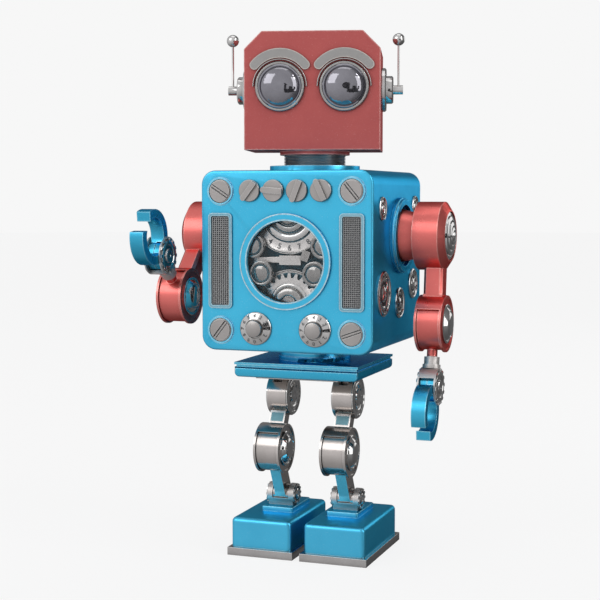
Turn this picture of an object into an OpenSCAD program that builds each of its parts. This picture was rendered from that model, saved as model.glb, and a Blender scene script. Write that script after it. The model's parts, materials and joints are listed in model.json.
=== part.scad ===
// Tin wind-up robot with a geared spring movement behind a round window.
// Millimetres. +Z is up, the robot faces -Y, its own left side is +X.
// The origin is on the floor, midway between the feet, under the middle of the body.

/* [Body case] */
// Width of the body case
case_w = 81; // [79:1:84]
// Depth of the body case, front to back
case_d = 79; // [78:1:82]
// Height of the body case
case_h = 81; // [80:1:84]
// Radius of the case's four long edges
case_corner = 6.5; // [5:0.5:8]
// Thickness of the sheet metal
wall = 0.8; // [0.7:0.1:1]

/* [Head] */
// Width of the head
head_w = 62; // [60:1:66]
// Depth of the head
head_d = 41; // [39:1:44]
// Height of the head
head_h = 53.6; // [52:0.2:58]
// Size of the bevel on the head's upper edges
head_bevel = 8; // [6:1:10]
// How far the head is turned to its left, in degrees
head_turn = 15; // [-60:5:60]

/* [Arms] */
// Distance from shoulder axis to elbow axis
upper_arm_len = 40; // [39:0.5:44]
// Distance from elbow axis to wrist axis
forearm_len = 28.7; // [28.7:0.1:32]
// Forward swing of the left upper arm from hanging straight down
left_upper_swing = 6; // [0:1:20]
// Forward swing of the left forearm from hanging straight down
left_fore_swing = 11; // [0:1:30]
// Forward swing of the left claw from hanging straight down
left_claw_swing = 40; // [30:1:41]
// Forward swing of the right upper arm
right_upper_swing = 45; // [30:1:60]
// Forward swing of the right forearm
right_fore_swing = 133; // [120:1:135]
// Forward swing of the right claw
right_claw_swing = 128; // [120:1:135]
// Outside radius of the elbow drums
elbow_r = 13; // [12.5:0.1:13.5]

/* [Legs and feet] */
// Distance between the two hip joints
hip_spacing = 32.4; // [32:0.2:34]
// Distance from hip axis to knee axis
thigh_len = 27.1; // [26.5:0.1:30]
// Distance from knee axis to ankle axis
shin_len = 27.2; // [26.5:0.1:30]
// Lean of the thighs forward and of the shins back, in degrees
knee_lean = 27.5; // [26:0.5:29]
// Width of a foot
foot_w = 29.5; // [28:0.5:30]
// Length of a foot
foot_l = 52; // [50:1:56]
// Height of a foot's cover
foot_h = 14; // [12:0.5:18]
// Thickness of the sole plate
sole_t = 3.7; // [3:0.1:5]

/* [Movement] */
// Module of the gears: pitch diameter divided by the number of teeth
gear_module = 0.8; // [0.8:0.01:0.81]
// Teeth on the spring barrel
barrel_teeth = 40; // [40:4:40]
// Teeth on the two wheel pinions and on the governor pinion
pinion_teeth = 10; // [10:1:10]
// Teeth on the wheel that drives the governor
governor_wheel_teeth = 32; // [32:1:32]
// How far the winding key stands out behind the case
key_reach = 30.3; // [28:0.1:34]

/* [Hidden] */
// Clearances: turning in a bore, a fixed pin in its hole, beside a turning face, around hidden parts
run = 0.06;
seat = 0.1;
gap = 0.15;
loose = 0.3;
pressure_angle = 25;
backlash = 0.14;
$fn = 72;

// Feet and legs, from the floor up
foot_x = 17.85;
sole_edge = 1.4;
foot_front = -25.1;
pedestal_h = 2.4;
ankle_r = 5;
hip_x = hip_spacing / 2;
leg_y = 1.3;
ankle_z = sole_t + foot_h + pedestal_h + ankle_r;
knee_y = leg_y - shin_len * sin(knee_lean);
knee_z = ankle_z + shin_len * cos(knee_lean);
hip_y = knee_y + thigh_len * sin(knee_lean);
hip_z = knee_z + thigh_len * cos(knee_lean);
hip_r = 10.2;
hip_half = 4.6;
knee_r = 11.6;
knee_half = 6.2;
cheek_t = 1;
lug_half = 2;
lug_r = 2.5;
hip_back = 25;
hip_forward = 35;

// Pelvis and waist
subplate_z = hip_z + hip_r + gap;
subplate_t = 0.6;
pelvis_z = subplate_z + subplate_t;
pelvis_h = 6.8;
pelvis_w = 59.8;
pelvis_d = 56;
pelvis_y = 0.9;
waist_ring_h = 3.9;
waist_bush_h = 2.7;
waist_stud_r = 8;

// Body case
case_z = pelvis_z + pelvis_h + waist_ring_h + waist_bush_h + gap;
case_top = case_z + case_h;
case_mid = case_z + case_h / 2;
front_y = -case_d / 2;
back_y = case_d / 2;
cover_t = 1.2;
side_x = case_w / 2;
screw_x = 31;
screw_up = 31.2;
screw_r = 5.3;
knob_z = case_mid + 31.4;
knob_pitch = 11.2;
knob_r = 4.95;
knob_turns = [52, -5, 68, -65];
dial_x = 14;
dial_z = case_mid - 30.1;
dial_r = 7.5;
window_r = 18.1;
bezel_r = 21.5;
grille_x = 31.05;
grille_w = 11.5;
grille_h = 43;
grille_edge = 1.45;

// Side gauges: distance back from the middle, height from the case's middle, radius
gauges = [[-26, 23.5, 5.3], [28, 24, 5.3], [-23.4, -14.3, 10.3], [2, -20, 7.2], [25, -12.4, 7.2]];

// Arms
shoulder_y = 3;
shoulder_z = case_z + 51.4;
arm_x = side_x + 17.5;
boss_t = 2.9;
shoulder_r = 15.6;
spindle_r = 5;
elbow_half = 6.2;
pin_r = 2;
wrist_r = 8.6;
wrist_half = 4.75;
finger_half = 3.3;
claw_reach = 14;
claw_out_r = 12.5;
claw_in_r = 8.5;
claw_cut = 4;
eye_r = 6.6;

// Neck and head
neck_disc_h = 2.5;
neck_bush_h = 4.8;
collar_h = 2;
head_z = case_top + neck_disc_h + neck_bush_h + gap + collar_h;
head_front = 2.4 - head_d / 2;
eye_x = 14.6;
eye_z = head_z + 28.6;
ear_y = 2.4;
ear_z = head_z + 28.3;

// Movement: two wheels above and below the spring barrel
axis_gap = gear_module * (barrel_teeth + pinion_teeth) / 2;
barrel_z = case_mid + 1.2;
upper_z = barrel_z + axis_gap;
lower_z = barrel_z - axis_gap;
governor_gap = gear_module * (governor_wheel_teeth + pinion_teeth) / 2;
governor_turn = -30;
governor_x = governor_gap * cos(governor_turn);
governor_z = lower_z + governor_gap * sin(governor_turn);
plate_front = front_y + 9.5;
plate_rear = plate_front + 23;
plate_t = 1.2;
wheel_y = front_y + 5.4;
arbor_r = 1.2;
wind_r = 2;
key_loop_r = 8.2;
cap_places = [[-12.7, -6.5], [12.7, -6.5], [-16.6, 5.9], [16.6, 5.9]];

// ---------------------------------------------------------------- helpers

// A round bar along X, from x0 to x1
module rod_x(r, x0, x1) {
  translate([x0, 0, 0]) rotate([0, 90, 0]) cylinder(r = r, h = x1 - x0);
}

// A round bar along Y, from y0 to y1
module rod_y(r, y0, y1) {
  translate([0, y1, 0]) rotate([90, 0, 0]) cylinder(r = r, h = y1 - y0);
}

// A round bar along Z, from z0 to z1
module rod_z(r, z0, z1) {
  translate([0, 0, z0]) cylinder(r = r, h = z1 - z0);
}

// A block given by its lowest and highest corner
module block(low, high) {
  translate(low) cube(high - low);
}

// A flat outline drawn in X and Z, made solid from y0 to y1
module slab_y(y0, y1) {
  translate([0, y1, 0]) rotate([90, 0, 0]) linear_extrude(y1 - y0) children();
}

// A flat outline drawn as (Y, Z), made solid from x0 to x1
module slab_x(x0, x1) {
  translate([x0, 0, 0]) rotate([90, 0, 90]) linear_extrude(x1 - x0) children();
}

// A profile of (radius, distance along X) points turned about X
module turned_x(points) {
  rotate([0, 90, 0]) rotate_extrude() polygon(points);
}

// A profile of (radius, distance towards the front) points turned about Y
module turned_front(points) {
  rotate([90, 0, 0]) rotate_extrude() polygon(points);
}

// A rectangle with round corners, centred
module round_rect(w, h, r) {
  square([w, h - 2 * r], center = true);
  square([w - 2 * r, h], center = true);
  for (x = [-1, 1], y = [-1, 1]) translate([x * (w / 2 - r), y * (h / 2 - r)]) circle(r);
}

// A wedge about -Z in the (Y, Z) plane, reaching half_angle to each side
module wedge(reach, half_angle) {
  steps = 8;
  polygon(concat([[0, 0]], [for (i = [0 : steps])
    let (a = half_angle * (2 * i / steps - 1)) [reach * sin(a), -reach * cos(a)]]));
}

// A turning fork: two round cheeks and the saddle that joins them above the drum
module yoke(r, half, inner_half, saddle_t, saddle_angle, recess_r) {
  for (s = [-1, 1]) difference() {
    rod_x(r, s > 0 ? inner_half : -half, s > 0 ? half : -inner_half);
    rod_x(pin_r + seat, -half - 1, half + 1);
    rod_x(recess_r, s > 0 ? half - 0.4 : -half - 1, s > 0 ? half + 1 : 0.4 - half);
  }
  difference() {
    intersection() {
      rod_x(r, -inner_half - 0.1, inner_half + 0.1);
      rotate([180, 0, 0]) slab_x(-half, half) wedge(2 * r, saddle_angle);
    }
    rod_x(r - saddle_t, -inner_half, inner_half);
    rod_x(pin_r + seat, -half, half);
  }
}

// A hinge pin with a domed head at each end, seated in the fork's cheeks
module domed_pin(r, half, head_r, head_t) {
  rod_x(r, 0.1 - half, half - 0.1);
  for (s = [-1, 1]) mirror([s < 0 ? 1 : 0, 0, 0]) turned_x([
    [0, half - 0.35], [head_r, half - 0.35], [head_r, half + 0.1],
    [head_r * 0.72, half + head_t * 0.7], [head_r * 0.3, half + head_t], [0, half + head_t]]);
}

// Mirror a right-hand part from the left-hand one
module side(s) {
  mirror([s < 0 ? 1 : 0, 0, 0]) children();
}

// ---------------------------------------------------------------- gears

function involute(base, r) = sqrt(pow(r / base, 2) - 1) * 180 / PI - acos(base / r);

// Half the angle that a tooth fills at radius r
function tooth_half(teeth, r) =
  let (pitch = gear_module * teeth / 2, base = pitch * cos(pressure_angle))
  90 / teeth - backlash / (2 * pitch) * 90 / PI
  + involute(base, pitch) - involute(base, max(r, base * 1.0001));

// Outline of an involute gear with one tooth centred on +X
module gear_outline(teeth) {
  pitch = gear_module * teeth / 2;
  tip = pitch + 0.9 * gear_module;
  root = pitch - 1.15 * gear_module;
  base = pitch * cos(pressure_angle);
  low = max(root + 0.05, base);
  rise = [for (i = [0 : 4]) low + (tip - low) * i / 4];
  flank = concat([[root, tooth_half(teeth, low)]], [for (r = rise) [r, tooth_half(teeth, r)]]);
  polygon([for (t = [0 : teeth - 1]) let (c = 360 * t / teeth)
    each concat(
      [for (p = flank) p[0] * [cos(c - p[1]), sin(c - p[1])]],
      [for (i = [len(flank) - 1 : -1 : 0]) let (p = flank[i]) p[0] * [cos(c + p[1]), sin(c + p[1])]])]);
}

// A gear about Y, from y0 to y1, turned so that a tooth points at angle a in the XZ plane
module gear_y(teeth, y0, y1, a = 0) {
  slab_y(y0, y1) rotate(a) gear_outline(teeth);
}

// ---------------------------------------------------------------- pelvis and waist

module pelvis_plate() color("steelblue") translate([0, pelvis_y, pelvis_z]) difference() {
  union() {
    // Lower body with rounded bottom corners, groove, and thin top lip
    slab_y(-pelvis_d / 2, pelvis_d / 2) {
      translate([0, 3.4]) square([pelvis_w, 2.4], center = true);
      translate([0, 2.3]) round_rect(pelvis_w, 4.6, 2.2);
    }
    block([-pelvis_w / 2 + 0.8, -pelvis_d / 2 + 0.8, 4], [pelvis_w / 2 - 0.8, pelvis_d / 2 - 0.8, 6]);
    block([-pelvis_w / 2, -pelvis_d / 2, 5.7], [pelvis_w / 2, pelvis_d / 2, pelvis_h]);
    // Stepped waist ring
    translate([0, -pelvis_y, 0]) rod_z(17, 6, pelvis_h + 2);
    translate([0, -pelvis_y, 0]) rod_z(16.3, 6, pelvis_h + waist_ring_h);
  }
  translate([0, -pelvis_y, 0]) rod_z(waist_stud_r, -1, 20);
}

module hip_hanger() color("slategray") {
  difference() {
    union() {
      block([-20, pelvis_y - 26, subplate_z], [20, pelvis_y + 25, pelvis_z]);
      rod_z(waist_stud_r - 0.02, subplate_z, case_z + wall + 2.6);
      rod_z(11, case_z + wall + 0.3, case_z + wall + 2);
    }
    rod_z(4, subplate_z - 1, case_z + 10);
  }
  for (s = [-1, 1]) translate([s * hip_x, hip_y, hip_z]) difference() {
    union() {
      block([-lug_half, -lug_r, 0], [lug_half, lug_r, hip_r + loose + 0.1]);
      rod_x(lug_r, -lug_half, lug_half);
    }
    rod_x(1.5 + run, -5, 5);
  }
}

// ---------------------------------------------------------------- body case

module torso_shell() color("deepskyblue") difference() {
  union() {
    translate([0, 0, case_mid]) slab_y(front_y, back_y - cover_t) round_rect(case_w, case_h, case_corner);
    // Raised seats for the corner screws, and the disc that carries the neck
    for (x = [-1, 1], z = [-1, 1]) translate([x * screw_x, 0, case_mid + z * screw_up])
      rod_y(screw_r + 0.8, front_y - 0.8, front_y + 0.1);
    rod_z(21, case_top - 0.1, case_top + neck_disc_h);
  }
  translate([0, 0, case_mid]) slab_y(front_y + wall, back_y)
    round_rect(case_w - 2 * wall, case_h - 2 * wall, case_corner - wall);
  translate([0, 0, case_mid]) rod_y(window_r, front_y - 1, front_y + 2);
  for (x = [-1, 1], z = [-1, 1]) translate([x * screw_x, 0, case_mid + z * screw_up]) {
    rod_y(screw_r + 0.03, front_y - 2, front_y - 0.2);
    rod_y(1.6, front_y - 2, front_y + 2);
  }
  for (i = [0 : 3]) translate([(i - 1.5) * knob_pitch, 0, knob_z])
    rod_y(1.5 + run, front_y - 1, front_y + 2);
  for (x = [-1, 1]) translate([x * dial_x, 0, dial_z]) rod_y(1.5 + run, front_y - 1, front_y + 2);
  translate([0, shoulder_y, shoulder_z]) rod_x(8, -case_w, case_w);
  rod_z(6 + run, case_top - 2, case_top + 5);
  rod_z(waist_stud_r + 0.4, case_z - 1, case_z + 2);
}

module back_cover() color("deepskyblue") difference() {
  union() {
    translate([0, 0, case_mid]) slab_y(back_y - cover_t, back_y) round_rect(case_w, case_h, case_corner);
    translate([0, 0, barrel_z]) rod_y(6, back_y - 0.1, back_y + 1);
  }
  translate([0, 0, barrel_z]) rod_y(wind_r + run, back_y - 5, back_y + 5);
  for (x = [-1, 1], z = [-1, 1]) translate([x * screw_x, 0, case_mid + z * screw_up])
    rod_y(1.6, back_y - 5, back_y + 5);
}

// Slots of the front corner screws, each left at its own angle
screw_slots = [[-1, 1, -33], [1, 1, -50], [-1, -1, 52], [1, -1, 20]];

module case_screw(slot) difference() {
  union() {
    turned_front([[0, 0], [screw_r, 0], [screw_r, 0.7], [screw_r - 1, 1.1], [0, 1.3]]);
    rod_y(1.5, 0, 7);
  }
  rotate([0, -slot, 0]) block([-10, -2, -1.05], [10, -0.75, 1.05]);
}

module case_screws() color("silver") {
  for (s = screw_slots) translate([s[0] * screw_x, front_y - 0.2, case_mid + s[1] * screw_up])
    case_screw(s[2]);
  for (s = screw_slots) translate([s[0] * screw_x, back_y, case_mid + s[1] * screw_up])
    rotate([0, 0, 180]) case_screw(s[2]);
}

module window_bezel() color("deepskyblue") translate([0, front_y, case_mid]) turned_front([
  [window_r, 0], [bezel_r, 0], [bezel_r, 0.7], [bezel_r - 0.5, 1.2],
  [window_r + 0.5, 1.2], [window_r, 0.8]]);

module window_pane() color("white", 0.3) translate([0, 0, case_mid])
  rod_y(window_r + 1.6, front_y + wall, front_y + wall + 0.8);

module grille_frames() color("lightsteelblue") for (s = [-1, 1]) translate([s * grille_x, 0, case_mid])
  difference() {
    slab_y(front_y - 0.9, front_y) round_rect(grille_w, grille_h, 2);
    slab_y(front_y - 2, front_y + 1) round_rect(grille_w - 2 * grille_edge, grille_h - 2 * grille_edge, 1);
  }

module grille_meshes() color("gray") for (s = [-1, 1]) translate([s * grille_x, 0, case_mid])
  slab_y(front_y - 0.4, front_y)
    round_rect(grille_w - 2 * grille_edge - 0.1, grille_h - 2 * grille_edge - 0.1, 0.95);

module shoulder_bosses() color("steelblue") for (s = [-1, 1]) side(s)
  translate([side_x, shoulder_y, shoulder_z]) turned_x([
    [spindle_r + run, -0.8], [7.9, -0.8], [7.9, 0], [17.4, 0], [17.4, 1.6], [16.8, 1.8], [16.8, boss_t],
    [14, boss_t], [14, 0.6], [spindle_r + run, 0.6]]);

module side_gauges() color("silver") for (s = [-1, 1]) side(s)
  for (g = gauges) translate([side_x, g[0], case_mid + g[1]]) {
    turned_x([[0, 0], [g[2], 0], [g[2], 0.6], [g[2] - 0.5, 1], [g[2] - 1, 1], [g[2] - 1.5, 0.4], [0, 0.4]]);
    rod_x(g[2] * 0.22, 0, 0.9);
    rotate([35, 0, 0]) block([0, -0.3, 0], [0.7, 0.3, g[2] - 1.6]);
  }

module swivel_bushes() color("dimgray") {
  // Ribbed bush of the neck, standing on the case's disc
  translate([0, 0, case_top + neck_disc_h]) difference() {
    union() {
      rod_z(13.7, 0, neck_bush_h);
      for (i = [0 : 3]) rod_z(14.4, 0.1 + i * 1.2, 0.9 + i * 1.2);
    }
    rod_z(6 + run, -1, 9);
  }
  // Bush of the waist, under the case
  difference() {
    rod_z(13.8, case_z - waist_bush_h, case_z);
    rod_z(waist_stud_r + run, case_z - 9, case_z + 9);
  }
}

// ---------------------------------------------------------------- controls

// A round knob with a raised grip bar across it
module selector_knob(i) color("silver")
  translate([(i - 1.5) * knob_pitch, front_y - gap, knob_z]) rotate([0, -knob_turns[i], 0]) {
    rod_y(knob_r, -1.3, 0);
    rod_y(1.5, -0.1, 4);
    slab_y(-2.4, -1.2)
      polygon([[-5.4, 0.5], [-4.6, 1.3], [4.7, 1.3], [4.7, -1.3], [-4.6, -1.3], [-5.4, -0.5]]);
  }

// A coned dial with a flat cap in the middle
module dial(s) color("silver") translate([s * dial_x, front_y - gap, dial_z]) {
  turned_front([[0, 0], [dial_r, 0], [dial_r, 0.6], [dial_r - 0.4, 1], [4.3, 2.2], [4, 2],
    [3.7, 3.3], [3.1, 3.8], [0, 3.8]]);
  rod_y(1.5, -0.1, 4);
}

// ---------------------------------------------------------------- movement

module movement_plates() color("darkslategray") for (y = [plate_front, plate_rear]) difference() {
  translate([0, 0, case_mid]) slab_y(y, y + plate_t) round_rect(70, 70.4, 3);
  for (z = [upper_z, lower_z]) translate([0, 0, z]) rod_y(arbor_r + run, y - 1, y + 3);
  translate([0, 0, barrel_z]) rod_y(wind_r + run, y - 1, y + 3);
  translate([governor_x, 0, governor_z]) rod_y(arbor_r + run, y - 1, y + 3);
  for (x = [-1, 1], z = [-1, 1]) translate([x * screw_x, 0, case_mid + z * screw_up])
    rod_y(3, y - 1, y + 3);
  if (y == plate_front) {
    for (c = cap_places) translate([c[0], 0, case_mid + c[1] + 1]) rod_y(1.5, y - 1, y + 3);
    translate([-15.5, 0, barrel_z - 0.6]) rod_y(1 + run, y - 1, y + 3);
    translate([8, 0, barrel_z + 1.3]) rotate([0, 20, 0]) block([-1, y - 1, -1.5], [1, y + 3, 1.5]);
  }
  if (y == plate_rear) translate([11, 0, barrel_z + 9.5]) rod_y(1.2 + run, y - 1, y + 3);
}

module movement_pillars() color("gainsboro") {
  // Four long pillars tie the front wall, both plates and the back cover together
  for (x = [-1, 1], z = [-1, 1]) translate([x * screw_x, 0, case_mid + z * screw_up]) difference() {
    rod_y(2.95, front_y + wall, back_y - cover_t);
    rod_y(1.55, front_y, front_y + 9);
    rod_y(1.55, back_y - 9, back_y);
  }
  // Four capped posts on the front plate
  for (c = cap_places) translate([c[0], front_y + 2.2, case_mid + c[1] + 1]) {
    rod_y(4.1, 0, 1.4);
    difference() {
      rod_y(5.7, 0.9, 2.4);
      rod_y(4.8, 0, 1.7);
    }
    rod_y(2.2, 1, plate_front - front_y - 2.2);
    rod_y(1.45, 1, plate_front - front_y - 2.2 + plate_t);
  }
  // Square stop beside the lever
  translate([8, 0, barrel_z + 1.3]) rotate([0, 20, 0]) {
    block([-1.9, wheel_y - 1.9, -2.4], [1.9, wheel_y - 0.8, 2.4]);
    block([-0.95, wheel_y - 0.9, -1.45], [0.95, plate_front + plate_t, 1.45]);
  }
}

gear_y0 = plate_front + 3;

// Spring barrel: toothed front flange, drum and rear lid, turning on the winding shaft
module mainspring_barrel() color("silver") translate([0, 0, barrel_z]) {
  difference() {
    union() {
      gear_y(barrel_teeth, gear_y0, gear_y0 + 2, 90);
      rod_y(14.6, gear_y0 + 1.9, gear_y0 + 12);
    }
    rod_y(13.9, gear_y0 + 1, gear_y0 + 11.2);
    rod_y(wind_r + run, gear_y0 - 2, gear_y0 + 20);
  }
}

// Coiled flat spring inside the barrel
module mainspring() color("slategray") translate([0, 0, barrel_z]) {
  turns = 5;
  steps = 24;
  thick = 0.5;
  inner = 3.2;
  outer = 13.1;
  arm = [for (i = [0 : turns * steps]) [inner + (outer - inner) * i / (turns * steps), 360 * i / steps]];
  slab_y(gear_y0 + 2, gear_y0 + 10) polygon(concat(
    [for (p = arm) p[0] * [cos(p[1]), sin(p[1])]],
    [for (i = [len(arm) - 1 : -1 : 0]) (arm[i][0] + thick) * [cos(arm[i][1]), sin(arm[i][1])]]));
}

// Winding shaft with its ratchet wheel, and the two-looped key on its end
module winding_key() color("silver") translate([0, 0, barrel_z]) {
  rod_y(wind_r, plate_front - 0.5, back_y + key_reach - 18);
  ratchet_y = plate_rear + plate_t + 0.8;
  slab_y(ratchet_y, ratchet_y + 1.6) polygon([for (i = [0 : 11]) each
    [7 * [cos(30 * i), sin(30 * i)], 9 * [cos(30 * i + 4), sin(30 * i + 4)]]]);
  rod_y(3.4, back_y + 2.2, back_y + key_reach - 17);
  translate([0, back_y + key_reach - key_loop_r, 0]) difference() {
    union() {
      for (s = [-1, 1]) translate([s * 9, 0, 0]) rod_z(key_loop_r, -1.1, 1.1);
      block([-5, -12, -1.1], [5, 3, 1.1]);
    }
    for (s = [-1, 1]) translate([s * 9, 0, 0]) rod_z(key_loop_r - 3.2, -2, 2);
  }
}

// Pawl that stops the winding shaft from running back, lifted just clear of the teeth
module ratchet_click() color("silver") {
  ratchet_y = plate_rear + plate_t + 0.8;
  translate([11, 0, barrel_z + 9.5]) {
    rod_y(1.2, plate_rear - 0.5, ratchet_y + 2);
    rod_y(2.2, ratchet_y, ratchet_y + 1.6);
    slab_y(ratchet_y, ratchet_y + 1.6) polygon([[-1.5, 1.5], [1.5, -1.5], [-1.3, -4.8], [-3.4, -4.2]]);
  }
}

// Large stepped wheel above the lever, grooved between its steps
module upper_wheel() color("silver") translate([0, 0, upper_z]) {
  translate([0, wheel_y, 0]) turned_front([[0, -2], [18.2, -2], [18.2, 0.3], [17.6, 0.3], [17.4, 0],
    [13, 0], [13, -0.8], [12.1, -0.8], [12.1, 0.6], [9.3, 0.6], [8.9, 0.2], [8.2, 0.2], [7.9, 1.3],
    [5.4, 1.3], [5.4, 0.5], [4.7, 0.5], [4.4, 1.6], [3.6, 1.9], [0, 1.9]]);
  rod_y(arbor_r, wheel_y, plate_rear + 0.9);
  gear_y(pinion_teeth, gear_y0 - 0.5, gear_y0 + 2.5, -90 + 18);
}

// Large wheel below the lever, its crown teeth standing inside a thin rim
module lower_wheel() color("silver") translate([0, 0, lower_z]) {
  translate([0, wheel_y, 0]) turned_front([[0, -2], [15.3, -2], [15.3, -0.6], [14.4, -0.6],
    [14.4, -1], [9, -1], [9, 0.6], [7.2, 0.6], [6.6, 1.6], [3.2, 1.6], [2.6, 2.2], [0, 2.2]]);
  slab_y(wheel_y - 0.5, wheel_y + 1.2) polygon([for (i = [0 : 23]) each
    [11.4 * [cos(15 * i - 5), sin(15 * i - 5)], 13.5 * [cos(15 * i - 2.2), sin(15 * i - 2.2)],
     13.5 * [cos(15 * i + 2.2), sin(15 * i + 2.2)], 11.4 * [cos(15 * i + 5), sin(15 * i + 5)]]]);
  rod_y(arbor_r, wheel_y, plate_rear + 0.9);
  gear_y(pinion_teeth, gear_y0 - 0.5, gear_y0 + 2.5, 90 + 18);
  gear_y(governor_wheel_teeth, gear_y0 + 14, gear_y0 + 15.6, governor_turn);
}

// Fast pinion with two air vanes that hold back the train's speed
module governor_fly() color("silver") translate([governor_x, 0, governor_z]) {
  rod_y(arbor_r, plate_front + 0.1, plate_rear + 0.9);
  gear_y(pinion_teeth, gear_y0 + 13.5, gear_y0 + 16, governor_turn + 180 + 18);
  block([-7, gear_y0 + 3, -0.4], [7, gear_y0 + 11, 0.4]);
}

// Weighted lever with a tapered neck, on its own arbor
module regulator_lever() color("silver") translate([-15.5, 0, barrel_z - 0.6]) {
  slab_y(wheel_y - 0.5, wheel_y + 0.9) {
    polygon([[0, -1], [0, 1], [11, 1.4], [11, -1.4]]);
    translate([15.9, -0.2]) square([10.3, 4.3], center = true);
    circle(1.9);
  }
  rod_y(1, wheel_y, plate_front + plate_t + 0.5);
}

// ---------------------------------------------------------------- head

module head_outline(inset) {
  w = head_w / 2 - inset;
  b = head_bevel - inset * 0.586;
  polygon([[-w, inset], [w, inset], [w, head_h - inset - b], [w - b, head_h - inset],
    [b - w, head_h - inset], [-w, head_h - inset - b]]);
}

module head_shell() color("indianred") rotate([0, 0, head_turn]) translate([0, 0, head_z]) difference() {
  union() {
    difference() {
      slab_y(head_front, head_front + head_d) head_outline(0);
      slab_y(head_front + wall, head_front + head_d - wall) head_outline(wall);
    }
    rod_z(16.3, -collar_h, 0.1);
    rod_z(6, -collar_h - neck_bush_h - neck_disc_h - 3, 0);
  }
  rod_z(4.5, -20, 2);
  translate([0, ear_y, ear_z - head_z]) rod_x(1.5 + run, -50, 50);
}

module on_head() {
  rotate([0, 0, head_turn]) children();
}

// Eye rings with the narrow lid that arches over each
module eye_bezels() color("lightsteelblue") on_head() for (s = [-1, 1])
  translate([s * eye_x, head_front, eye_z]) {
    turned_front([[9.6, 0], [11.4, 0], [11.4, 1.1], [10.9, 1.7], [10.1, 1.7], [9.6, 1.1]]);
    difference() {
      rod_y(12.4, -1.4, 0);
      rod_y(11.95, -2, 1);
      block([-20, -3, -20], [20, 1, 0]);
    }
  }

module eye_lenses() color("lightslategray") on_head() for (s = [-1, 1])
  translate([s * eye_x, head_front, eye_z]) turned_front([
    [0, 0], [9.3, 0], [9.3, 0.6], [8.9, 1.5], [7.9, 2.6], [6.4, 3.5], [4.4, 4.2], [2.2, 4.55], [0, 4.65]]);

// An arched band with round ends
module brow_outline() {
  outer = 17.2;
  inner = 12.9;
  end = 40;
  difference() {
    circle(outer);
    circle(inner);
    polygon([[0, 0], 40 * [cos(end), sin(end)], [40, -40], [-40, -40], 40 * [-cos(end), sin(end)]]);
  }
  for (s = [-1, 1]) rotate(90 + s * (90 - end)) translate([(outer + inner) / 2, 0])
    circle((outer - inner) / 2 - 0.03);
}

module brows() color("gray") on_head() for (s = [-1, 1])
  translate([s * eye_x, 0, eye_z]) slab_y(head_front - 1.1, head_front) brow_outline();

// Stepped ear disc with its axle, rod and ball
module aerial(s) color("silver") on_head() side(s) translate([0, ear_y, ear_z]) {
  x = head_w / 2 + gap;
  turned_x([[0, x], [10.1, x], [10.1, x + 1.4], [9.5, x + 2], [6.4, x + 2], [6.4, x + 4.6], [5.8, x + 5.2],
    [2.1, x + 5.2], [2.1, x + 9.7], [0, x + 9.7]]);
  rod_x(1.5, x - 4, x);
  translate([x + 7.6, 0, 0]) {
    rod_z(0.5, 0, 22);
    translate([0, 0, 23.2]) sphere(2.85);
  }
}

// ---------------------------------------------------------------- arms

function swing_point(y, z, reach, a) = [y - reach * sin(a), z - reach * cos(a)];
left_elbow = swing_point(shoulder_y, shoulder_z, upper_arm_len, left_upper_swing);
right_elbow = swing_point(shoulder_y, shoulder_z, upper_arm_len, right_upper_swing);
left_wrist = swing_point(left_elbow[0], left_elbow[1], forearm_len, left_fore_swing);
right_wrist = swing_point(right_elbow[0], right_elbow[1], forearm_len, right_fore_swing);

// Put a limb that hangs down from its joint where it belongs, swung forward by a
module limb(s, x, at, a) {
  side(s) translate([x, at[0], at[1]]) rotate([-a, 0, 0]) children();
}

elbow_in = elbow_half - cheek_t - 0.05;

module upper_arm_shape() {
  x = side_x - arm_x;
  difference() {
    turned_x([[0, x - 3], [6.6, x - 3], [6.6, x - 1.1], [spindle_r, x - 1.1], [spindle_r, x + 0.9],
      [12.3, x + 0.9], [10.4, x + 8.6], [9.6, x + 8.6], [9.6, x + 9.6], [shoulder_r, x + 9.6],
      [shoulder_r, 4], [11.7, 6.6], [11.2, 6.6], [11.2, 5.2], [0, 5.2]]);
    rod_x(1.45 + seat, 0, 8);
  }
  intersection() {
    translate([0, 0, 13 - upper_arm_len]) linear_extrude(upper_arm_len - 27 + 0.5)
      polygon([[-4.4, -3.5], [-3.2, -4.7], [3.2, -4.7], [4.4, -3.5],
        [4.4, 3.5], [3.2, 4.7], [-3.2, 4.7], [-4.4, 3.5]]);
    block([-5, -5, 12.7 - upper_arm_len], [5, 5, 0]);
  }
  difference() {
    block([-4.4, -4.7, 12 - upper_arm_len], [4.4, 4.7, 13.2 - upper_arm_len]);
    translate([0, 0, -upper_arm_len]) rod_x(elbow_r - 0.3, -9, 9);
  }
  translate([0, 0, -upper_arm_len]) yoke(elbow_r, elbow_half, elbow_in, 0.65, 62, 11.8);
}

module arm_pins_shape() {
  turned_x([[0, 5.3], [11, 5.3], [11, 6.7], [9.4, 7], [8.4, 7.7], [5, 8.4], [2.4, 8.6], [0, 8.6]]);
  rod_x(1.45, 0.5, 5.4);
  translate([0, 0, -upper_arm_len]) domed_pin(pin_r, elbow_half, 9, 1.9);
}

// Drum that turns in the elbow fork, with the stepped stem that ends in a swivel pin
module forearm_shape() {
  difference() {
    union() {
      rod_x(elbow_r - 0.95, gap - elbow_in, elbow_in - gap);
      rod_z(2.4, -15.2, -8);
      rod_z(1.5, -19, -10);
    }
    rod_x(pin_r + run, -9, 9);
  }
}

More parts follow.
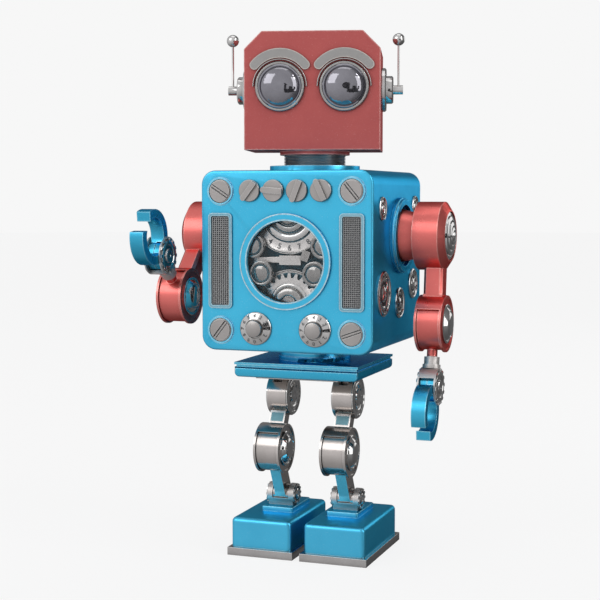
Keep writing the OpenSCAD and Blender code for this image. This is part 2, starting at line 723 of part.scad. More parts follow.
// Stepped collar that swivels on the forearm and carries the wrist shell
module wrist_collar_shape() {
  hub = -forearm_len;
  difference() {
    union() {
      rod_z(3.5, -18.9, -15.35);
      rod_z(4.1, hub + wrist_r - 0.6, -18.8);
    }
    rod_z(1.5 + run, -19.2, -10);
  }
  translate([0, 0, hub]) {
    difference() {
      intersection() {
        rod_x(wrist_r, -finger_half - 0.2, finger_half + 0.2);
        rotate([180, 0, 0]) slab_x(-9, 9) wedge(20, 68);
      }
      rod_x(eye_r + 0.35, -9, 9);
    }
    for (s = [-1, 1]) side(s) difference() {
      rod_x(wrist_r, finger_half + 0.15, finger_half + 0.85);
      rod_x(1.5 + seat, -9, 9);
    }
  }
}

module wrist_pin_shape() {
  rod_x(1.5, -finger_half - 1, finger_half + 1);
  for (s = [-1, 1]) side(s) difference() {
    turned_x([[0, finger_half + 0.87], [8.2, finger_half + 0.87], [8.2, 4.5], [7.9, wrist_half],
      [5.6, wrist_half], [4.6, 4.4], [3.2, 4.4], [2.4, 5], [0, 5]]);
    for (i = [0 : 7]) rotate([45 * i, 0, 0]) translate([0, 6.8, 0]) rod_x(0.7, 4.3, 9);
  }
}

// One claw finger hanging from the wrist: f is 1 for the front one and -1 for the rear
module finger_shape(f) mirror([0, f < 0 ? 1 : 0, 0]) {
  eye_low = f > 0 ? 0.08 : -finger_half;
  eye_high = f > 0 ? finger_half : -0.08;
  difference() {
    union() {
      difference() {
        translate([0, 0, -claw_reach]) finger_arc(-finger_half, finger_half);
        rod_x(eye_r + 0.3, -9, 9);
      }
      intersection() {
        translate([0, 0, -claw_reach]) finger_arc(eye_low, eye_high);
        rod_x(eye_r + 0.8, -9, 9);
      }
      rod_x(eye_r, eye_low, eye_high);
    }
    rod_x(1.5 + run, -9, 9);
  }
}

// Front half of the claw ring, with the corner between the two tips cut away
module finger_arc(x0, x1) difference() {
  rod_x(claw_out_r, x0, x1);
  rod_x(claw_in_r, -9, 9);
  block([-9, -0.5, -20], [9, 20, 20]);
  rotate([45, 0, 0]) block([-9, -30, -30], [9, -claw_cut, -claw_cut]);
}

module upper_arm(s, swing) color("crimson") limb(s, arm_x, [shoulder_y, shoulder_z], swing) upper_arm_shape();
module arm_pins(s, swing) color("silver") limb(s, arm_x, [shoulder_y, shoulder_z], swing) arm_pins_shape();
module forearm(s, at, swing) color("crimson") limb(s, arm_x, at, swing) forearm_shape();
module wrist_collar(s, at, swing) color("lightsteelblue") limb(s, arm_x, at, swing) wrist_collar_shape();
module wrist_pin(s, at, swing) color("silver") limb(s, arm_x, at, swing) wrist_pin_shape();
module finger(s, f, at, swing) color("deepskyblue") limb(s, arm_x, at, swing) finger_shape(f);

// ---------------------------------------------------------------- legs and feet

knee_in = knee_half - cheek_t;
knee_at = [knee_y, knee_z];

// Wedge that clears the lug between two angles, both measured from straight up towards the front
module lug_slot(low, high) {
  c = lug_r + loose;
  polygon([c * [cos(low), sin(low)], c * [cos(low), sin(low)] + 20 * [-sin(low), cos(low)],
    20 * [-sin(high), cos(high)] - c * [cos(high), sin(high)], -c * [cos(high), sin(high)]]);
}

module thigh_shape() {
  difference() {
    union() {
      rod_x(hip_r, -hip_half, hip_half);
      block([-3.75, -2.9, 9 - thigh_len], [3.75, 2.9, -5]);
    }
    // Slot for the pelvis lug over the hip's whole travel, and the pin's hole
    slab_x(-lug_half - 0.2, lug_half + 0.2) lug_slot(knee_lean - hip_back, knee_lean + hip_forward);
    rod_x(lug_r + loose, -lug_half - 0.2, lug_half + 0.2);
    rod_x(1.5 + seat, -9, 9);
    translate([0, 0, -thigh_len]) rod_x(knee_r - 0.3, -9, 9);
  }
  translate([0, 0, -thigh_len]) yoke(knee_r, knee_half, knee_in, 0.6, 70, 10.4);
}

module leg_pins_shape() {
  rod_x(1.5, -hip_half - 0.3, hip_half + 0.3);
  for (s = [-1, 1]) side(s) turned_x([[0, hip_half], [9.8, hip_half], [9.8, 5.1], [9.4, 5.3],
    [8.4, 5.3], [7.9, 4.95], [4, 4.95], [3.2, 5.6], [0, 5.6]]);
  translate([0, 0, -thigh_len]) domed_pin(pin_r, knee_half, 8.2, 1.8);
}

module shin_shape() difference() {
  union() {
    rod_x(knee_r - 0.85, gap - knee_in, knee_in - gap);
    block([-2.55, -4.3, -shin_len], [2.55, 4.3, -8]);
    translate([0, 0, -shin_len]) rod_x(4.35, -3.9, 3.9);
  }
  rod_x(pin_r + run, -9, 9);
  translate([0, 0, -shin_len]) rod_x(1.5 + run, -9, 9);
}

// Steel cradle of the ankle, with its hinge pin as a separate solid
module ankle_bracket(s) color("silver") translate([s * hip_x, leg_y, ankle_z]) {
  difference() {
    union() {
      for (c = [-1, 1]) rod_x(ankle_r, c > 0 ? 4.05 : -6.6, c > 0 ? 6.6 : -4.05);
      difference() {
        intersection() {
          rod_x(ankle_r, -4.1, 4.1);
          slab_x(-9, 9) wedge(20, 70);
        }
        rod_x(4.6, -4.05, 4.05);
      }
      difference() {
        block([-6, -4.2, -ankle_r], [6, 4.2, -2.6]);
        rod_x(4.6, -4.05, 4.05);
      }
    }
    rod_x(1.5 + seat, -9, 9);
  }
  rod_x(1.5, -6.7, 6.7);
  for (c = [-1, 1]) side(c) turned_x([[0, 6.6], [4.3, 6.6], [4.3, 7], [3.5, 7], [3, 6.8], [1.8, 6.8],
    [1.4, 7.3], [0, 7.3]]);
}

module foot_cover(s) color("steelblue") side(s) {
  translate([foot_x, 0, sole_t]) difference() {
    slab_y(foot_front, foot_front + foot_l) foot_outline(0);
    slab_y(foot_front + wall, foot_front + foot_l - wall) foot_outline(wall);
  }
  translate([hip_x, 4.75, sole_t + foot_h - 0.1]) linear_extrude(pedestal_h + 0.1)
    round_rect(15.6, 25.5, 1.2);
}

// Cross-section of a foot: square at the sole, round at the two upper edges
module foot_outline(inset) {
  w = foot_w - 2 * inset;
  r = 2.2 - inset / 2;
  h = foot_h - inset;
  low = inset > 0 ? -1 : 0;
  translate([-w / 2, low]) square([w, h - r - low]);
  translate([r - w / 2, low]) square([w - 2 * r, h - low]);
  for (s = [-1, 1]) translate([s * (w / 2 - r), h - r]) circle(r);
}

module foot_sole(s) color("silver") block(
  [s * foot_x - foot_w / 2 - sole_edge, foot_front - sole_edge, 0],
  [s * foot_x + foot_w / 2 + sole_edge, foot_front + foot_l + sole_edge, sole_t]);

module thigh(s) color("silver") limb(s, hip_x, [hip_y, hip_z], knee_lean) thigh_shape();
module leg_pins(s) color("gainsboro") limb(s, hip_x, [hip_y, hip_z], knee_lean) leg_pins_shape();
module shin(s) color("silver") limb(s, hip_x, knee_at, -knee_lean) shin_shape();

// ---------------------------------------------------------------- nodes

pelvis_plate();
hip_hanger();
torso_shell();
back_cover();
case_screws();
window_bezel();
window_pane();
grille_frames();
grille_meshes();
shoulder_bosses();
side_gauges();
movement_plates();
movement_pillars();
swivel_bushes();
selector_knob(0);  // selector_knob_1
selector_knob(1);  // selector_knob_2
selector_knob(2);  // selector_knob_3
selector_knob(3);  // selector_knob_4
dial(1);  // left_dial
dial(-1);  // right_dial
mainspring_barrel();
mainspring();
winding_key();
ratchet_click();
upper_wheel();
lower_wheel();
governor_fly();
regulator_lever();
head_shell();
eye_bezels();
eye_lenses();
brows();
aerial(1);  // left_aerial
aerial(-1);  // right_aerial
upper_arm(1, left_upper_swing);  // left_upper_arm
arm_pins(1, left_upper_swing);  // left_arm_pins
forearm(1, left_elbow, left_fore_swing);  // left_forearm
wrist_collar(1, left_elbow, left_fore_swing);  // left_wrist_collar
wrist_pin(1, left_wrist, left_fore_swing);  // left_wrist_pin
finger(1, 1, left_wrist, left_claw_swing);  // left_front_finger
finger(1, -1, left_wrist, left_claw_swing);  // left_rear_finger
upper_arm(-1, right_upper_swing);  // right_upper_arm
arm_pins(-1, right_upper_swing);  // right_arm_pins
forearm(-1, right_elbow, right_fore_swing);  // right_forearm
wrist_collar(-1, right_elbow, right_fore_swing);  // right_wrist_collar
wrist_pin(-1, right_wrist, right_fore_swing);  // right_wrist_pin
finger(-1, 1, right_wrist, right_claw_swing);  // right_front_finger
finger(-1, -1, right_wrist, right_claw_swing);  // right_rear_finger
thigh(1);  // left_thigh
leg_pins(1);  // left_leg_pins
shin(1);  // left_shin
ankle_bracket(1);  // left_ankle_bracket
foot_cover(1);  // left_foot_cover
foot_sole(1);  // left_foot_sole
thigh(-1);  // right_thigh
leg_pins(-1);  // right_leg_pins
shin(-1);  // right_shin
ankle_bracket(-1);  // right_ankle_bracket
foot_cover(-1);  // right_foot_cover
foot_sole(-1);  // right_foot_sole
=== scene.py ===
"""Looks for the wind-up robot: every visible CAD node is remade as a finer mesh with rubbed metal finishes,
painted edge highlights and painted shade in the corners.
"""

import json
from math import asin, cos, pi, radians, sin

import bmesh
import bpy
from mathutils import Matrix, Vector


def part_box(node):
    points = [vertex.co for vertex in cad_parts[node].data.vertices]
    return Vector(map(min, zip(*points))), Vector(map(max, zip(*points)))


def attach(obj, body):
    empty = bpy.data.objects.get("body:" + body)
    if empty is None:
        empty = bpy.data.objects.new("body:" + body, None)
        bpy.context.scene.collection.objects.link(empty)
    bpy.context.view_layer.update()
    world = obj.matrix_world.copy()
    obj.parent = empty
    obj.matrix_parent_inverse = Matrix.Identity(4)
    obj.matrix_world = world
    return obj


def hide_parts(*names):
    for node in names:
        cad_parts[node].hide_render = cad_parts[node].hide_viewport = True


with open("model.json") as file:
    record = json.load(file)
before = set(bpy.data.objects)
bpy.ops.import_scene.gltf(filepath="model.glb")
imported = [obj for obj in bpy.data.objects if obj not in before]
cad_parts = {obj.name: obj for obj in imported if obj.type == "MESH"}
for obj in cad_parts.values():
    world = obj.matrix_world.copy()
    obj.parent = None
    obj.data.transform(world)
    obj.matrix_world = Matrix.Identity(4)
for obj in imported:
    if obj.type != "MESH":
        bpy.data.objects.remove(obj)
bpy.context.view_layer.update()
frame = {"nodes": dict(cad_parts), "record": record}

MM = 0.001
# Turn of the head at rest, as the CAD has it
HEAD_TURN = radians(15)
# Radius in millimetres of the shank under every turned head and knob
SHANK = 1.5
# The middle of the robot, in metres, where every light points
LIGHT_TARGET = Vector((0, 0, 0.13))
RECORD = frame["record"]
BODY_OF = {node: body for body, nodes in RECORD["behaviour"]["bodies"].items() for node in nodes}
SLOT_OF = {part["node"]: part["material_slot"] for part in RECORD["subparts"]}
JOINTS = {joint["name"]: joint for joint in RECORD["behaviour"]["joints"]}


# ---------------------------------------------------------------- camera, floor, light

def add_camera():
    """A long lens from the robot's front left, a little above its waist and tipped down."""
    data = bpy.data.cameras.new("camera")
    data.lens = 81.16
    data.sensor_width = 36
    camera = bpy.data.objects.new("camera", data)
    camera.location = (0.2109, -0.5995, 0.1665)
    camera.rotation_euler = (radians(90 - 4.32), 0, radians(20.01))
    bpy.context.collection.objects.link(camera)
    bpy.context.scene.camera = camera


def add_area_light(name, place, size, power):
    data = bpy.data.lights.new(name, "AREA")
    data.shape = "RECTANGLE"
    data.size, data.size_y = size
    data.energy = power
    light = bpy.data.objects.new(name, data)
    light.location = place
    light.rotation_euler = (LIGHT_TARGET - Vector(place)).to_track_quat("-Z", "Y").to_euler()
    bpy.context.collection.objects.link(light)


def add_world():
    """A studio sky: pale to the eye, bright in front of the robot and dim behind it for reflections."""
    world = bpy.data.worlds.new("studio")
    bpy.context.scene.world = world
    world.use_nodes = True
    nodes, links = world.node_tree.nodes, world.node_tree.links
    nodes.clear()
    out = nodes.new("ShaderNodeOutputWorld")
    seen = nodes.new("ShaderNodeBackground")
    seen.inputs["Color"].default_value = (0.93, 0.93, 0.93, 1)
    lit = nodes.new("ShaderNodeBackground")
    ray = nodes.new("ShaderNodeLightPath")
    choose = nodes.new("ShaderNodeMixShader")
    coords = nodes.new("ShaderNodeTexCoord")
    along = nodes.new("ShaderNodeVectorMath")
    along.operation = "DOT_PRODUCT"
    along.inputs[1].default_value = Vector((-0.42, -0.9, 0.22)).normalized()
    sweep = nodes.new("ShaderNodeMapRange")
    sweep.inputs["From Min"].default_value = -1
    split = nodes.new("ShaderNodeSeparateXYZ")
    rise = nodes.new("ShaderNodeMapRange")
    for name, value in (("From Min", -0.8), ("From Max", 0.0), ("To Min", 0.62), ("To Max", 1.0)):
        rise.inputs[name].default_value = value
    ramp = nodes.new("ShaderNodeValToRGB")
    stops = [(0.0, 0.14), (0.22, 0.20), (0.42, 0.32), (0.60, 0.68), (1.0, 0.86)]
    while len(ramp.color_ramp.elements) < len(stops):
        ramp.color_ramp.elements.new(0.5)
    for element, (place, gray) in zip(ramp.color_ramp.elements, stops):
        element.position = place
        element.color = (gray, gray, gray * 1.02, 1)
    links.new(coords.outputs["Generated"], along.inputs[0])
    links.new(along.outputs["Value"], sweep.inputs["Value"])
    links.new(sweep.outputs["Result"], ramp.inputs["Fac"])
    links.new(ramp.outputs["Color"], lit.inputs["Color"])
    links.new(coords.outputs["Generated"], split.inputs[0])
    links.new(split.outputs["Z"], rise.inputs["Value"])
    links.new(rise.outputs["Result"], lit.inputs["Strength"])
    links.new(ray.outputs["Is Camera Ray"], choose.inputs["Fac"])
    links.new(lit.outputs["Background"], choose.inputs[1])
    links.new(seen.outputs["Background"], choose.inputs[2])
    links.new(choose.outputs["Shader"], out.inputs["Surface"])


def add_floor():
    bpy.ops.mesh.primitive_circle_add(vertices=96, radius=6, fill_type="NGON", location=(0, 0, -0.0001))
    floor = bpy.context.object
    floor.name = "floor"
    floor.visible_glossy = False
    material = bpy.data.materials.new("pale_floor")
    material.use_nodes = True
    bsdf = material.node_tree.nodes["Principled BSDF"]
    bsdf.inputs["Base Color"].default_value = (0.08, 0.08, 0.08, 1)
    bsdf.inputs["Roughness"].default_value = 0.9
    bsdf.inputs["Emission Color"].default_value = (1, 1, 1, 1)
    bsdf.inputs["Emission Strength"].default_value = 0.84
    floor.data.materials.append(material)


def add_dark_stand():
    """Dark studio things beside the camera that only show as reflections in the polished parts."""
    material = bpy.data.materials.new("stand_black")
    material.use_nodes = True
    material.node_tree.nodes["Principled BSDF"].inputs["Base Color"].default_value = (0.02, 0.02, 0.024, 1)
    shapes = (
        ("tripod", (0.34, -0.72, 0.20), (0.05, 0.10, 0.34)),
        ("bench", (0.62, -0.55, 0.06), (0.05, 0.62, 0.17)),
        ("case", (0.60, -0.60, 0.20), (0.05, 0.20, 0.13)),
        ("stool", (0.79, -0.34, 0.19), (0.05, 0.12, 0.14)))
    for name, place, size in shapes:
        bm = bmesh.new()
        bmesh.ops.create_cube(bm, size=1)
        bmesh.ops.scale(bm, vec=size, verts=bm.verts)
        shape = new_piece(name, bm)
        shape.location = place
        shape.rotation_euler = Vector((place[0], place[1], 0)).to_track_quat("X", "Z").to_euler()
        shape.visible_camera = False
        shape.visible_diffuse = False
        shape.visible_shadow = False
        shape.data.materials.append(material)


# ---------------------------------------------------------------- materials

class Shader:
    """Builds one procedural material, node by node."""

    def __init__(self, name):
        self.material = bpy.data.materials.new(name)
        self.material.use_nodes = True
        self.nodes = self.material.node_tree.nodes
        self.links = self.material.node_tree.links
        self.bsdf = self.nodes["Principled BSDF"]
        self.coords = self.add("ShaderNodeTexCoord").outputs["Object"]

    def add(self, kind, **settings):
        node = self.nodes.new(kind)
        for key, value in settings.items():
            setattr(node, key, value)
        return node

    def set(self, **values):
        for key, value in values.items():
            self.bsdf.inputs[key.replace("_", " ")].default_value = value

    def feed(self, socket, name):
        self.links.new(socket, self.bsdf.inputs[name])

    def noise(self, scale, detail, rough, stretch=(1, 1, 1)):
        mapping = self.add("ShaderNodeMapping")
        mapping.inputs["Scale"].default_value = stretch
        self.links.new(self.coords, mapping.inputs["Vector"])
        noise = self.add("ShaderNodeTexNoise")
        noise.inputs["Scale"].default_value = scale
        noise.inputs["Detail"].default_value = detail
        noise.inputs["Roughness"].default_value = rough
        self.links.new(mapping.outputs["Vector"], noise.inputs["Vector"])
        return noise.outputs["Fac"]

    def ramp(self, factor, *stops):
        """Colour or gray stops, each (place, gray) or (place, (r, g, b))."""
        node = self.add("ShaderNodeValToRGB")
        elements = node.color_ramp.elements
        while len(elements) < len(stops):
            elements.new(0.5)
        for element, (place, value) in zip(elements, stops):
            element.position = place
            rgb = value if isinstance(value, tuple) else (value, value, value)
            element.color = (*rgb, 1)
        self.links.new(factor, node.inputs["Fac"])
        return node.outputs["Color"]

    def mix(self, factor, first, second):
        node = self.add("ShaderNodeMix", data_type="RGBA")
        for socket, value in ((node.inputs[0], factor), (node.inputs[6], first), (node.inputs[7], second)):
            if isinstance(value, bpy.types.NodeSocket):
                self.links.new(value, socket)
            else:
                socket.default_value = (*value, 1) if isinstance(value, tuple) else value
        return node.outputs[2]

    def times(self, first, second):
        node = self.add("ShaderNodeMath", operation="MULTIPLY")
        self.links.new(first, node.inputs[0])
        if isinstance(second, bpy.types.NodeSocket):
            self.links.new(second, node.inputs[1])
        else:
            node.inputs[1].default_value = second
        return node.outputs[0]

    def bump(self, height, strength, distance, under=None):
        node = self.add("ShaderNodeBump")
        node.inputs["Strength"].default_value = strength
        node.inputs["Distance"].default_value = distance
        self.links.new(height, node.inputs["Height"])
        if under is not None:
            self.links.new(under, node.inputs["Normal"])
        return node.outputs["Normal"]

    def edges(self, radius, start, full):
        """1 on edges and corners, 0 on open faces."""
        bevel = self.add("ShaderNodeBevel", samples=4)
        bevel.inputs["Radius"].default_value = radius
        geometry = self.add("ShaderNodeNewGeometry")
        dot = self.add("ShaderNodeVectorMath", operation="DOT_PRODUCT")
        self.links.new(bevel.outputs["Normal"], dot.inputs[0])
        self.links.new(geometry.outputs["Normal"], dot.inputs[1])
        return self.ramp(dot.outputs["Value"], (1 - full, 1.0), (1 - start, 0.0))

    def corner_shade(self, distance):
        """Mask for painted shade: 1 in corners and grooves, 0 where the surface is open."""
        shade = self.add("ShaderNodeAmbientOcclusion", samples=4)
        shade.inputs["Distance"].default_value = distance
        return self.ramp(shade.outputs["AO"], (0.35, 1.0), (0.85, 0.0))


def lacquer(name, base, deep, worn_and_highlight, rough=(0.24, 0.4), metallic=0.9, coat=0.1, grain=0.04, sheen=None):
    """Coloured lacquer over tinplate: cloudy tone, fine grain, pale rubbed edges that are partly a painted
    highlight, and painted shade in the corners.

    sheen is the colour that the metal keeps at a shallow angle.
    """
    s = Shader(name)
    s.set(Specular_Tint=(*(sheen or base), 1))
    clouds = s.noise(38, 5, 0.55)
    tone = s.mix(s.ramp(clouds, (0.3, 0.0), (0.72, 1.0)), base, deep)
    specks = s.ramp(s.noise(2600, 2, 0.6), (0.66, 0.0), (0.72, 1.0))
    tone = s.mix(s.times(specks, 0.35), tone, worn_and_highlight)
    # painted shade: the colour goes to a third of the deep tone in corners and grooves
    tone = s.mix(s.times(s.corner_shade(0.004), 0.55), tone, tuple(c * 0.35 for c in deep))
    # pale edges broken up by noise: partly rubbing, partly a painted highlight along the edges
    edge_wear_and_highlight = s.times(s.edges(0.0009, 0.01, 0.09), s.ramp(s.noise(420, 4, 0.6), (0.32, 0.45), (0.6, 1.0)))
    tone = s.mix(edge_wear_and_highlight, tone, worn_and_highlight)
    s.feed(tone, "Base Color")
    smudge = s.ramp(s.noise(120, 6, 0.62, (1, 1, 0.5)), (0.3, rough[0]), (0.75, rough[1]))
    s.feed(smudge, "Roughness")
    s.set(Metallic=metallic, Coat_Weight=coat, Coat_Roughness=0.18, Coat_IOR=1.45)
    fine = s.bump(s.noise(3800, 3, 0.6), grain, 0.0001)
    scratches = s.ramp(s.noise(260, 3, 0.7, (1, 1, 14)), (0.66, 0.0), (0.72, 1.0))
    s.feed(s.bump(scratches, 0.012, 0.0001, fine), "Normal")
    return s.material


def metal(name, base, dull, rough, streak=(1, 1, 1), grain=0.08):
    """Bare metal: brushed streaks, uneven dullness, painted shade in the corners and a painted highlight on
    the edges.
    """
    s = Shader(name)
    clouds = s.noise(70, 5, 0.6)
    tone = s.mix(s.ramp(clouds, (0.35, 0.0), (0.7, 1.0)), base, dull)
    streaks = s.noise(900, 3, 0.55, streak)
    tone = s.mix(s.times(s.ramp(streaks, (0.35, 1.0), (0.65, 0.0)), 0.22), tone, tuple(c * 0.6 for c in dull))
    # painted shade: near black in corners and grooves
    tone = s.mix(s.times(s.corner_shade(0.003), 0.6), tone, (0.05, 0.045, 0.04))
    # painted highlight: near white along the edges
    tone = s.mix(s.times(s.edges(0.0005, 0.03, 0.2), 0.6), tone, (0.92, 0.92, 0.9))
    s.feed(tone, "Base Color")
    s.feed(s.ramp(s.mix(0.5, clouds, streaks), (0.3, rough[0]), (0.7, rough[1])), "Roughness")
    s.set(Metallic=1.0)
    s.feed(s.bump(streaks, grain, 0.0001), "Normal")
    return s.material


def dome_glass():
    """Eye dome: a mirror-bright gray-blue shell under a clear glossy coat."""
    s = Shader("eye_dome")
    haze = s.noise(160, 4, 0.5)
    s.feed(s.ramp(haze, (0.3, (0.20, 0.195, 0.22)), (0.7, (0.26, 0.255, 0.285))), "Base Color")
    s.feed(s.ramp(s.noise(500, 4, 0.6), (0.3, 0.04), (0.8, 0.12)), "Roughness")
    s.set(Metallic=0.92, Coat_Weight=1.0, Coat_Roughness=0.02, Coat_IOR=1.5)
    s.feed(s.bump(haze, 0.01, 0.0002), "Normal")
    return s.material


def window_glass():
    """Thin clear pane: almost invisible, with a faint gloss and a few specks of dust."""
    s = Shader("clear")
    dust = s.ramp(s.noise(1400, 3, 0.6), (0.68, 0.0), (0.8, 1.0))
    s.feed(s.mix(s.times(dust, 0.4), (0.9, 0.95, 0.97), (0.7, 0.7, 0.68)), "Base Color")
    s.feed(s.ramp(dust, (0.0, 0.03), (1.0, 0.3)), "Roughness")
    s.set(IOR=1.3)
    s.feed(s.ramp(dust, (0.0, 0.015), (1.0, 0.05)), "Alpha")
    return s.material


def make_materials():
    across = (1, 18, 18)
    red_sheen, blue_sheen = (0.85, 0.28, 0.28), (0.12, 0.60, 0.95)
    return {
        "head_red": lacquer("head_red", (0.52, 0.125, 0.118), (0.44, 0.10, 0.098), (0.95, 0.62, 0.58),
                            rough=(0.42, 0.55), metallic=0.75, coat=0.05, grain=0.06, sheen=red_sheen),
        "arm_red": lacquer("arm_red", (0.80, 0.19, 0.17), (0.68, 0.15, 0.135), (0.95, 0.52, 0.46),
                           rough=(0.26, 0.36), metallic=0.95, sheen=red_sheen),
        "case_blue": lacquer("case_blue", (0.075, 0.55, 0.82), (0.06, 0.48, 0.74), (0.55, 0.86, 0.95),
                             rough=(0.27, 0.36), metallic=0.92, sheen=blue_sheen),
        "trim_blue": lacquer("trim_blue", (0.06, 0.46, 0.68), (0.045, 0.40, 0.62), (0.40, 0.76, 0.88),
                             rough=(0.24, 0.34), metallic=0.95, grain=0.03, sheen=blue_sheen),
        "foot_blue": lacquer("foot_blue", (0.085, 0.53, 0.80), (0.07, 0.47, 0.73), (0.50, 0.82, 0.92),
                             rough=(0.28, 0.36), metallic=0.93, grain=0.02, sheen=(0.25, 0.68, 0.92)),
        "steel": metal("steel", (0.60, 0.565, 0.54), (0.50, 0.47, 0.44), (0.22, 0.38), across),
        "screw_steel": metal("screw_steel", (0.45, 0.425, 0.41), (0.39, 0.37, 0.355), (0.26, 0.40), across),
        "leg_steel": metal("leg_steel", (0.60, 0.555, 0.53), (0.50, 0.465, 0.44), (0.14, 0.25), across),
        "bracket_steel": metal("bracket_steel", (0.70, 0.665, 0.64), (0.60, 0.57, 0.55), (0.40, 0.55),
                               across),
        "sole_steel": metal("sole_steel", (0.50, 0.485, 0.475), (0.42, 0.405, 0.395), (0.15, 0.26), across),
        "strap_steel": metal("strap_steel", (0.11, 0.21, 0.24), (0.09, 0.18, 0.21), (0.25, 0.36), across),
        "bright": metal("bright", (0.68, 0.67, 0.66), (0.57, 0.56, 0.545), (0.05, 0.14), grain=0.02),
        "ring_gray": metal("ring_gray", (0.45, 0.44, 0.43), (0.36, 0.35, 0.34), (0.16, 0.28), grain=0.03),
        "frame_blue": lacquer("frame_blue", (0.22, 0.44, 0.54), (0.18, 0.38, 0.48), (0.66, 0.86, 0.92),
                              rough=(0.3, 0.42), metallic=0.9, sheen=(0.5, 0.8, 0.95)),
        "brow_gray": lacquer("brow_gray", (0.36, 0.35, 0.34), (0.30, 0.295, 0.29), (0.72, 0.66, 0.60),
                             rough=(0.42, 0.55), metallic=0.6, coat=0.0),
        "eye_dome": dome_glass(),
        "black_metal": metal("black_metal", (0.20, 0.23, 0.27), (0.14, 0.165, 0.20), (0.32, 0.48)),
        "digit_black": metal("digit_black", (0.05, 0.055, 0.065), (0.03, 0.033, 0.04), (0.45, 0.6)),
        "movement_dark": lacquer("movement_dark", (0.02, 0.10, 0.14), (0.012, 0.06, 0.09), (0.2, 0.3, 0.34),
                                 rough=(0.4, 0.6), metallic=0.5, coat=0.0),
        "clear": window_glass(),
        "mesh_gray": metal("mesh_gray", (0.42, 0.425, 0.43), (0.34, 0.345, 0.35), (0.3, 0.45)),
        "train_steel": metal("train_steel", (0.62, 0.60, 0.585), (0.52, 0.50, 0.485), (0.2, 0.34)),
    }


# ---------------------------------------------------------------- mesh building

# Faces that meet at less than the first angle are one flat face; past the second their edge is sharp,
# and past the third it is a corner that can take a wide rounding
FLAT_ANGLE = radians(0.6)
SHARP_ANGLE = radians(33)
CORNER_ANGLE = radians(40)
# Corners closer than this, in metres, are one corner
WELD = 2e-6


def new_piece(name, bm):
    mesh = bpy.data.meshes.new(name)
    bm.to_mesh(mesh)
    bm.free()
    piece = bpy.data.objects.new(name, mesh)
    bpy.context.collection.objects.link(piece)
    return piece


def soften(piece, width, segments=2):
    """Round the sharp edges by width millimetres and shade the rest smooth."""
    piece.data.shade_smooth()
    piece.data.set_sharp_from_angle(angle=SHARP_ANGLE)
    if width > 0:
        bevel = piece.modifiers.new("round_edges", "BEVEL")
        bevel.width = width * MM
        bevel.segments = segments
        bevel.limit_method = "ANGLE"
        bevel.angle_limit = SHARP_ANGLE
        bevel.harden_normals = True
        bevel.miter_outer = "MITER_ARC"
        done = bpy.data.meshes.new_from_object(piece.evaluated_get(bpy.context.evaluated_depsgraph_get()))
        piece.modifiers.clear()
        piece.data = done


def finish_piece(piece, node, material):
    piece.data.materials.clear()
    piece.data.materials.append(material)
    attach(piece, BODY_OF[node])


def round_outer_edges(bm, width, wanted):
    """Give a wide rounding, in millimetres, to the sharp edges that wanted(first, second) picks."""
    edges = [e for e in bm.edges if e.is_manifold and e.calc_face_angle() > CORNER_ANGLE
             and wanted(e.verts[0].co, e.verts[1].co)]
    bmesh.ops.bevel(bm, geom=edges, offset=width * MM, segments=4, profile=0.5, affect="EDGES",
                    clamp_overlap=True)


def in_plane(value, a, b):
    """Whether the edge from a to b lies in the plane y = value."""
    return abs(a.y - value) < 0.02 * MM and abs(b.y - value) < 0.02 * MM


def on_case_outline(*points):
    """Whether the points are on the body case's outline, seen from the front."""
    low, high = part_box("back_cover")
    centre, near_edge = (low + high) / 2, 0.94 * (high.x - low.x) / 2
    return all(max(abs(p.x - centre.x), abs(p.z - centre.z)) > near_edge for p in points)


def outer_rounding(node):
    """(width, edge test) for the nodes whose pressed outer edges are plainly round."""
    low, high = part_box(node)
    if node == "torso_shell":
        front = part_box("window_bezel")[1].y
        return 1.0, lambda a, b: in_plane(front, a, b) and on_case_outline(a, b)
    if node == "back_cover":
        raised_boss = 1 * MM
        return 0.9, lambda a, b: in_plane(high.y - raised_boss, a, b) and on_case_outline(a, b)
    if node == "pelvis_plate":
        groove = low.z + 4.7 * MM
        return 1.9, lambda a, b: max(a.z, b.z) < groove and any(in_plane(y, a, b) for y in (low.y, high.y))
    return 0, None


def refine(node, material, width):
    """Remake a CAD node as one mesh with clean faces and rounded edges."""
    bm = bmesh.new()
    bm.from_mesh(frame["nodes"][node].data)
    bmesh.ops.remove_doubles(bm, verts=bm.verts, dist=WELD)
    bmesh.ops.dissolve_limit(bm, angle_limit=FLAT_ANGLE, verts=bm.verts, edges=bm.edges)
    wide, wanted = outer_rounding(node)
    if wide > 0:
        round_outer_edges(bm, wide, wanted)
    piece = new_piece(node + "_skin", bm)
    soften(piece, width)
    finish_piece(piece, node, material)
    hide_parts(node)


# Rounding of each node's edges in millimetres; any node that is missing here gets the usual amount
USUAL_ROUNDING = 0.15
ROUNDING = {
    "torso_shell": 0.35, "back_cover": 0.3, "head_shell": 0.45, "pelvis_plate": 0.25, "window_bezel": 0.25,
    "left_foot_sole": 0.2, "right_foot_sole": 0.2,
    "left_upper_arm": 0.2, "right_upper_arm": 0.2, "mainspring": 0, "governor_fly": 0.08, "eye_lenses": 0,
}

# Nodes whose finish differs a little from the rest of their material slot
FINISH = {"eye_bezels": "ring_gray"}
for side in ("left", "right"):
    FINISH[f"{side}_wrist_collar"] = "bracket_steel"
    FINISH[f"{side}_thigh"] = "leg_steel"
    FINISH[f"{side}_shin"] = "leg_steel"
    FINISH[f"{side}_ankle_bracket"] = "bracket_steel"
    FINISH[f"{side}_foot_sole"] = "sole_steel"


# ---------------------------------------------------------------- turned and built details

def facing(origin, axis, spin=0.0):
    """Matrix that stands a turned piece at origin with its own +Z along axis."""
    turn = Vector(axis).to_track_quat("Z", "Y").to_matrix().to_4x4()
    return Matrix.Translation(origin) @ turn @ Matrix.Rotation(spin, 4, "Z")


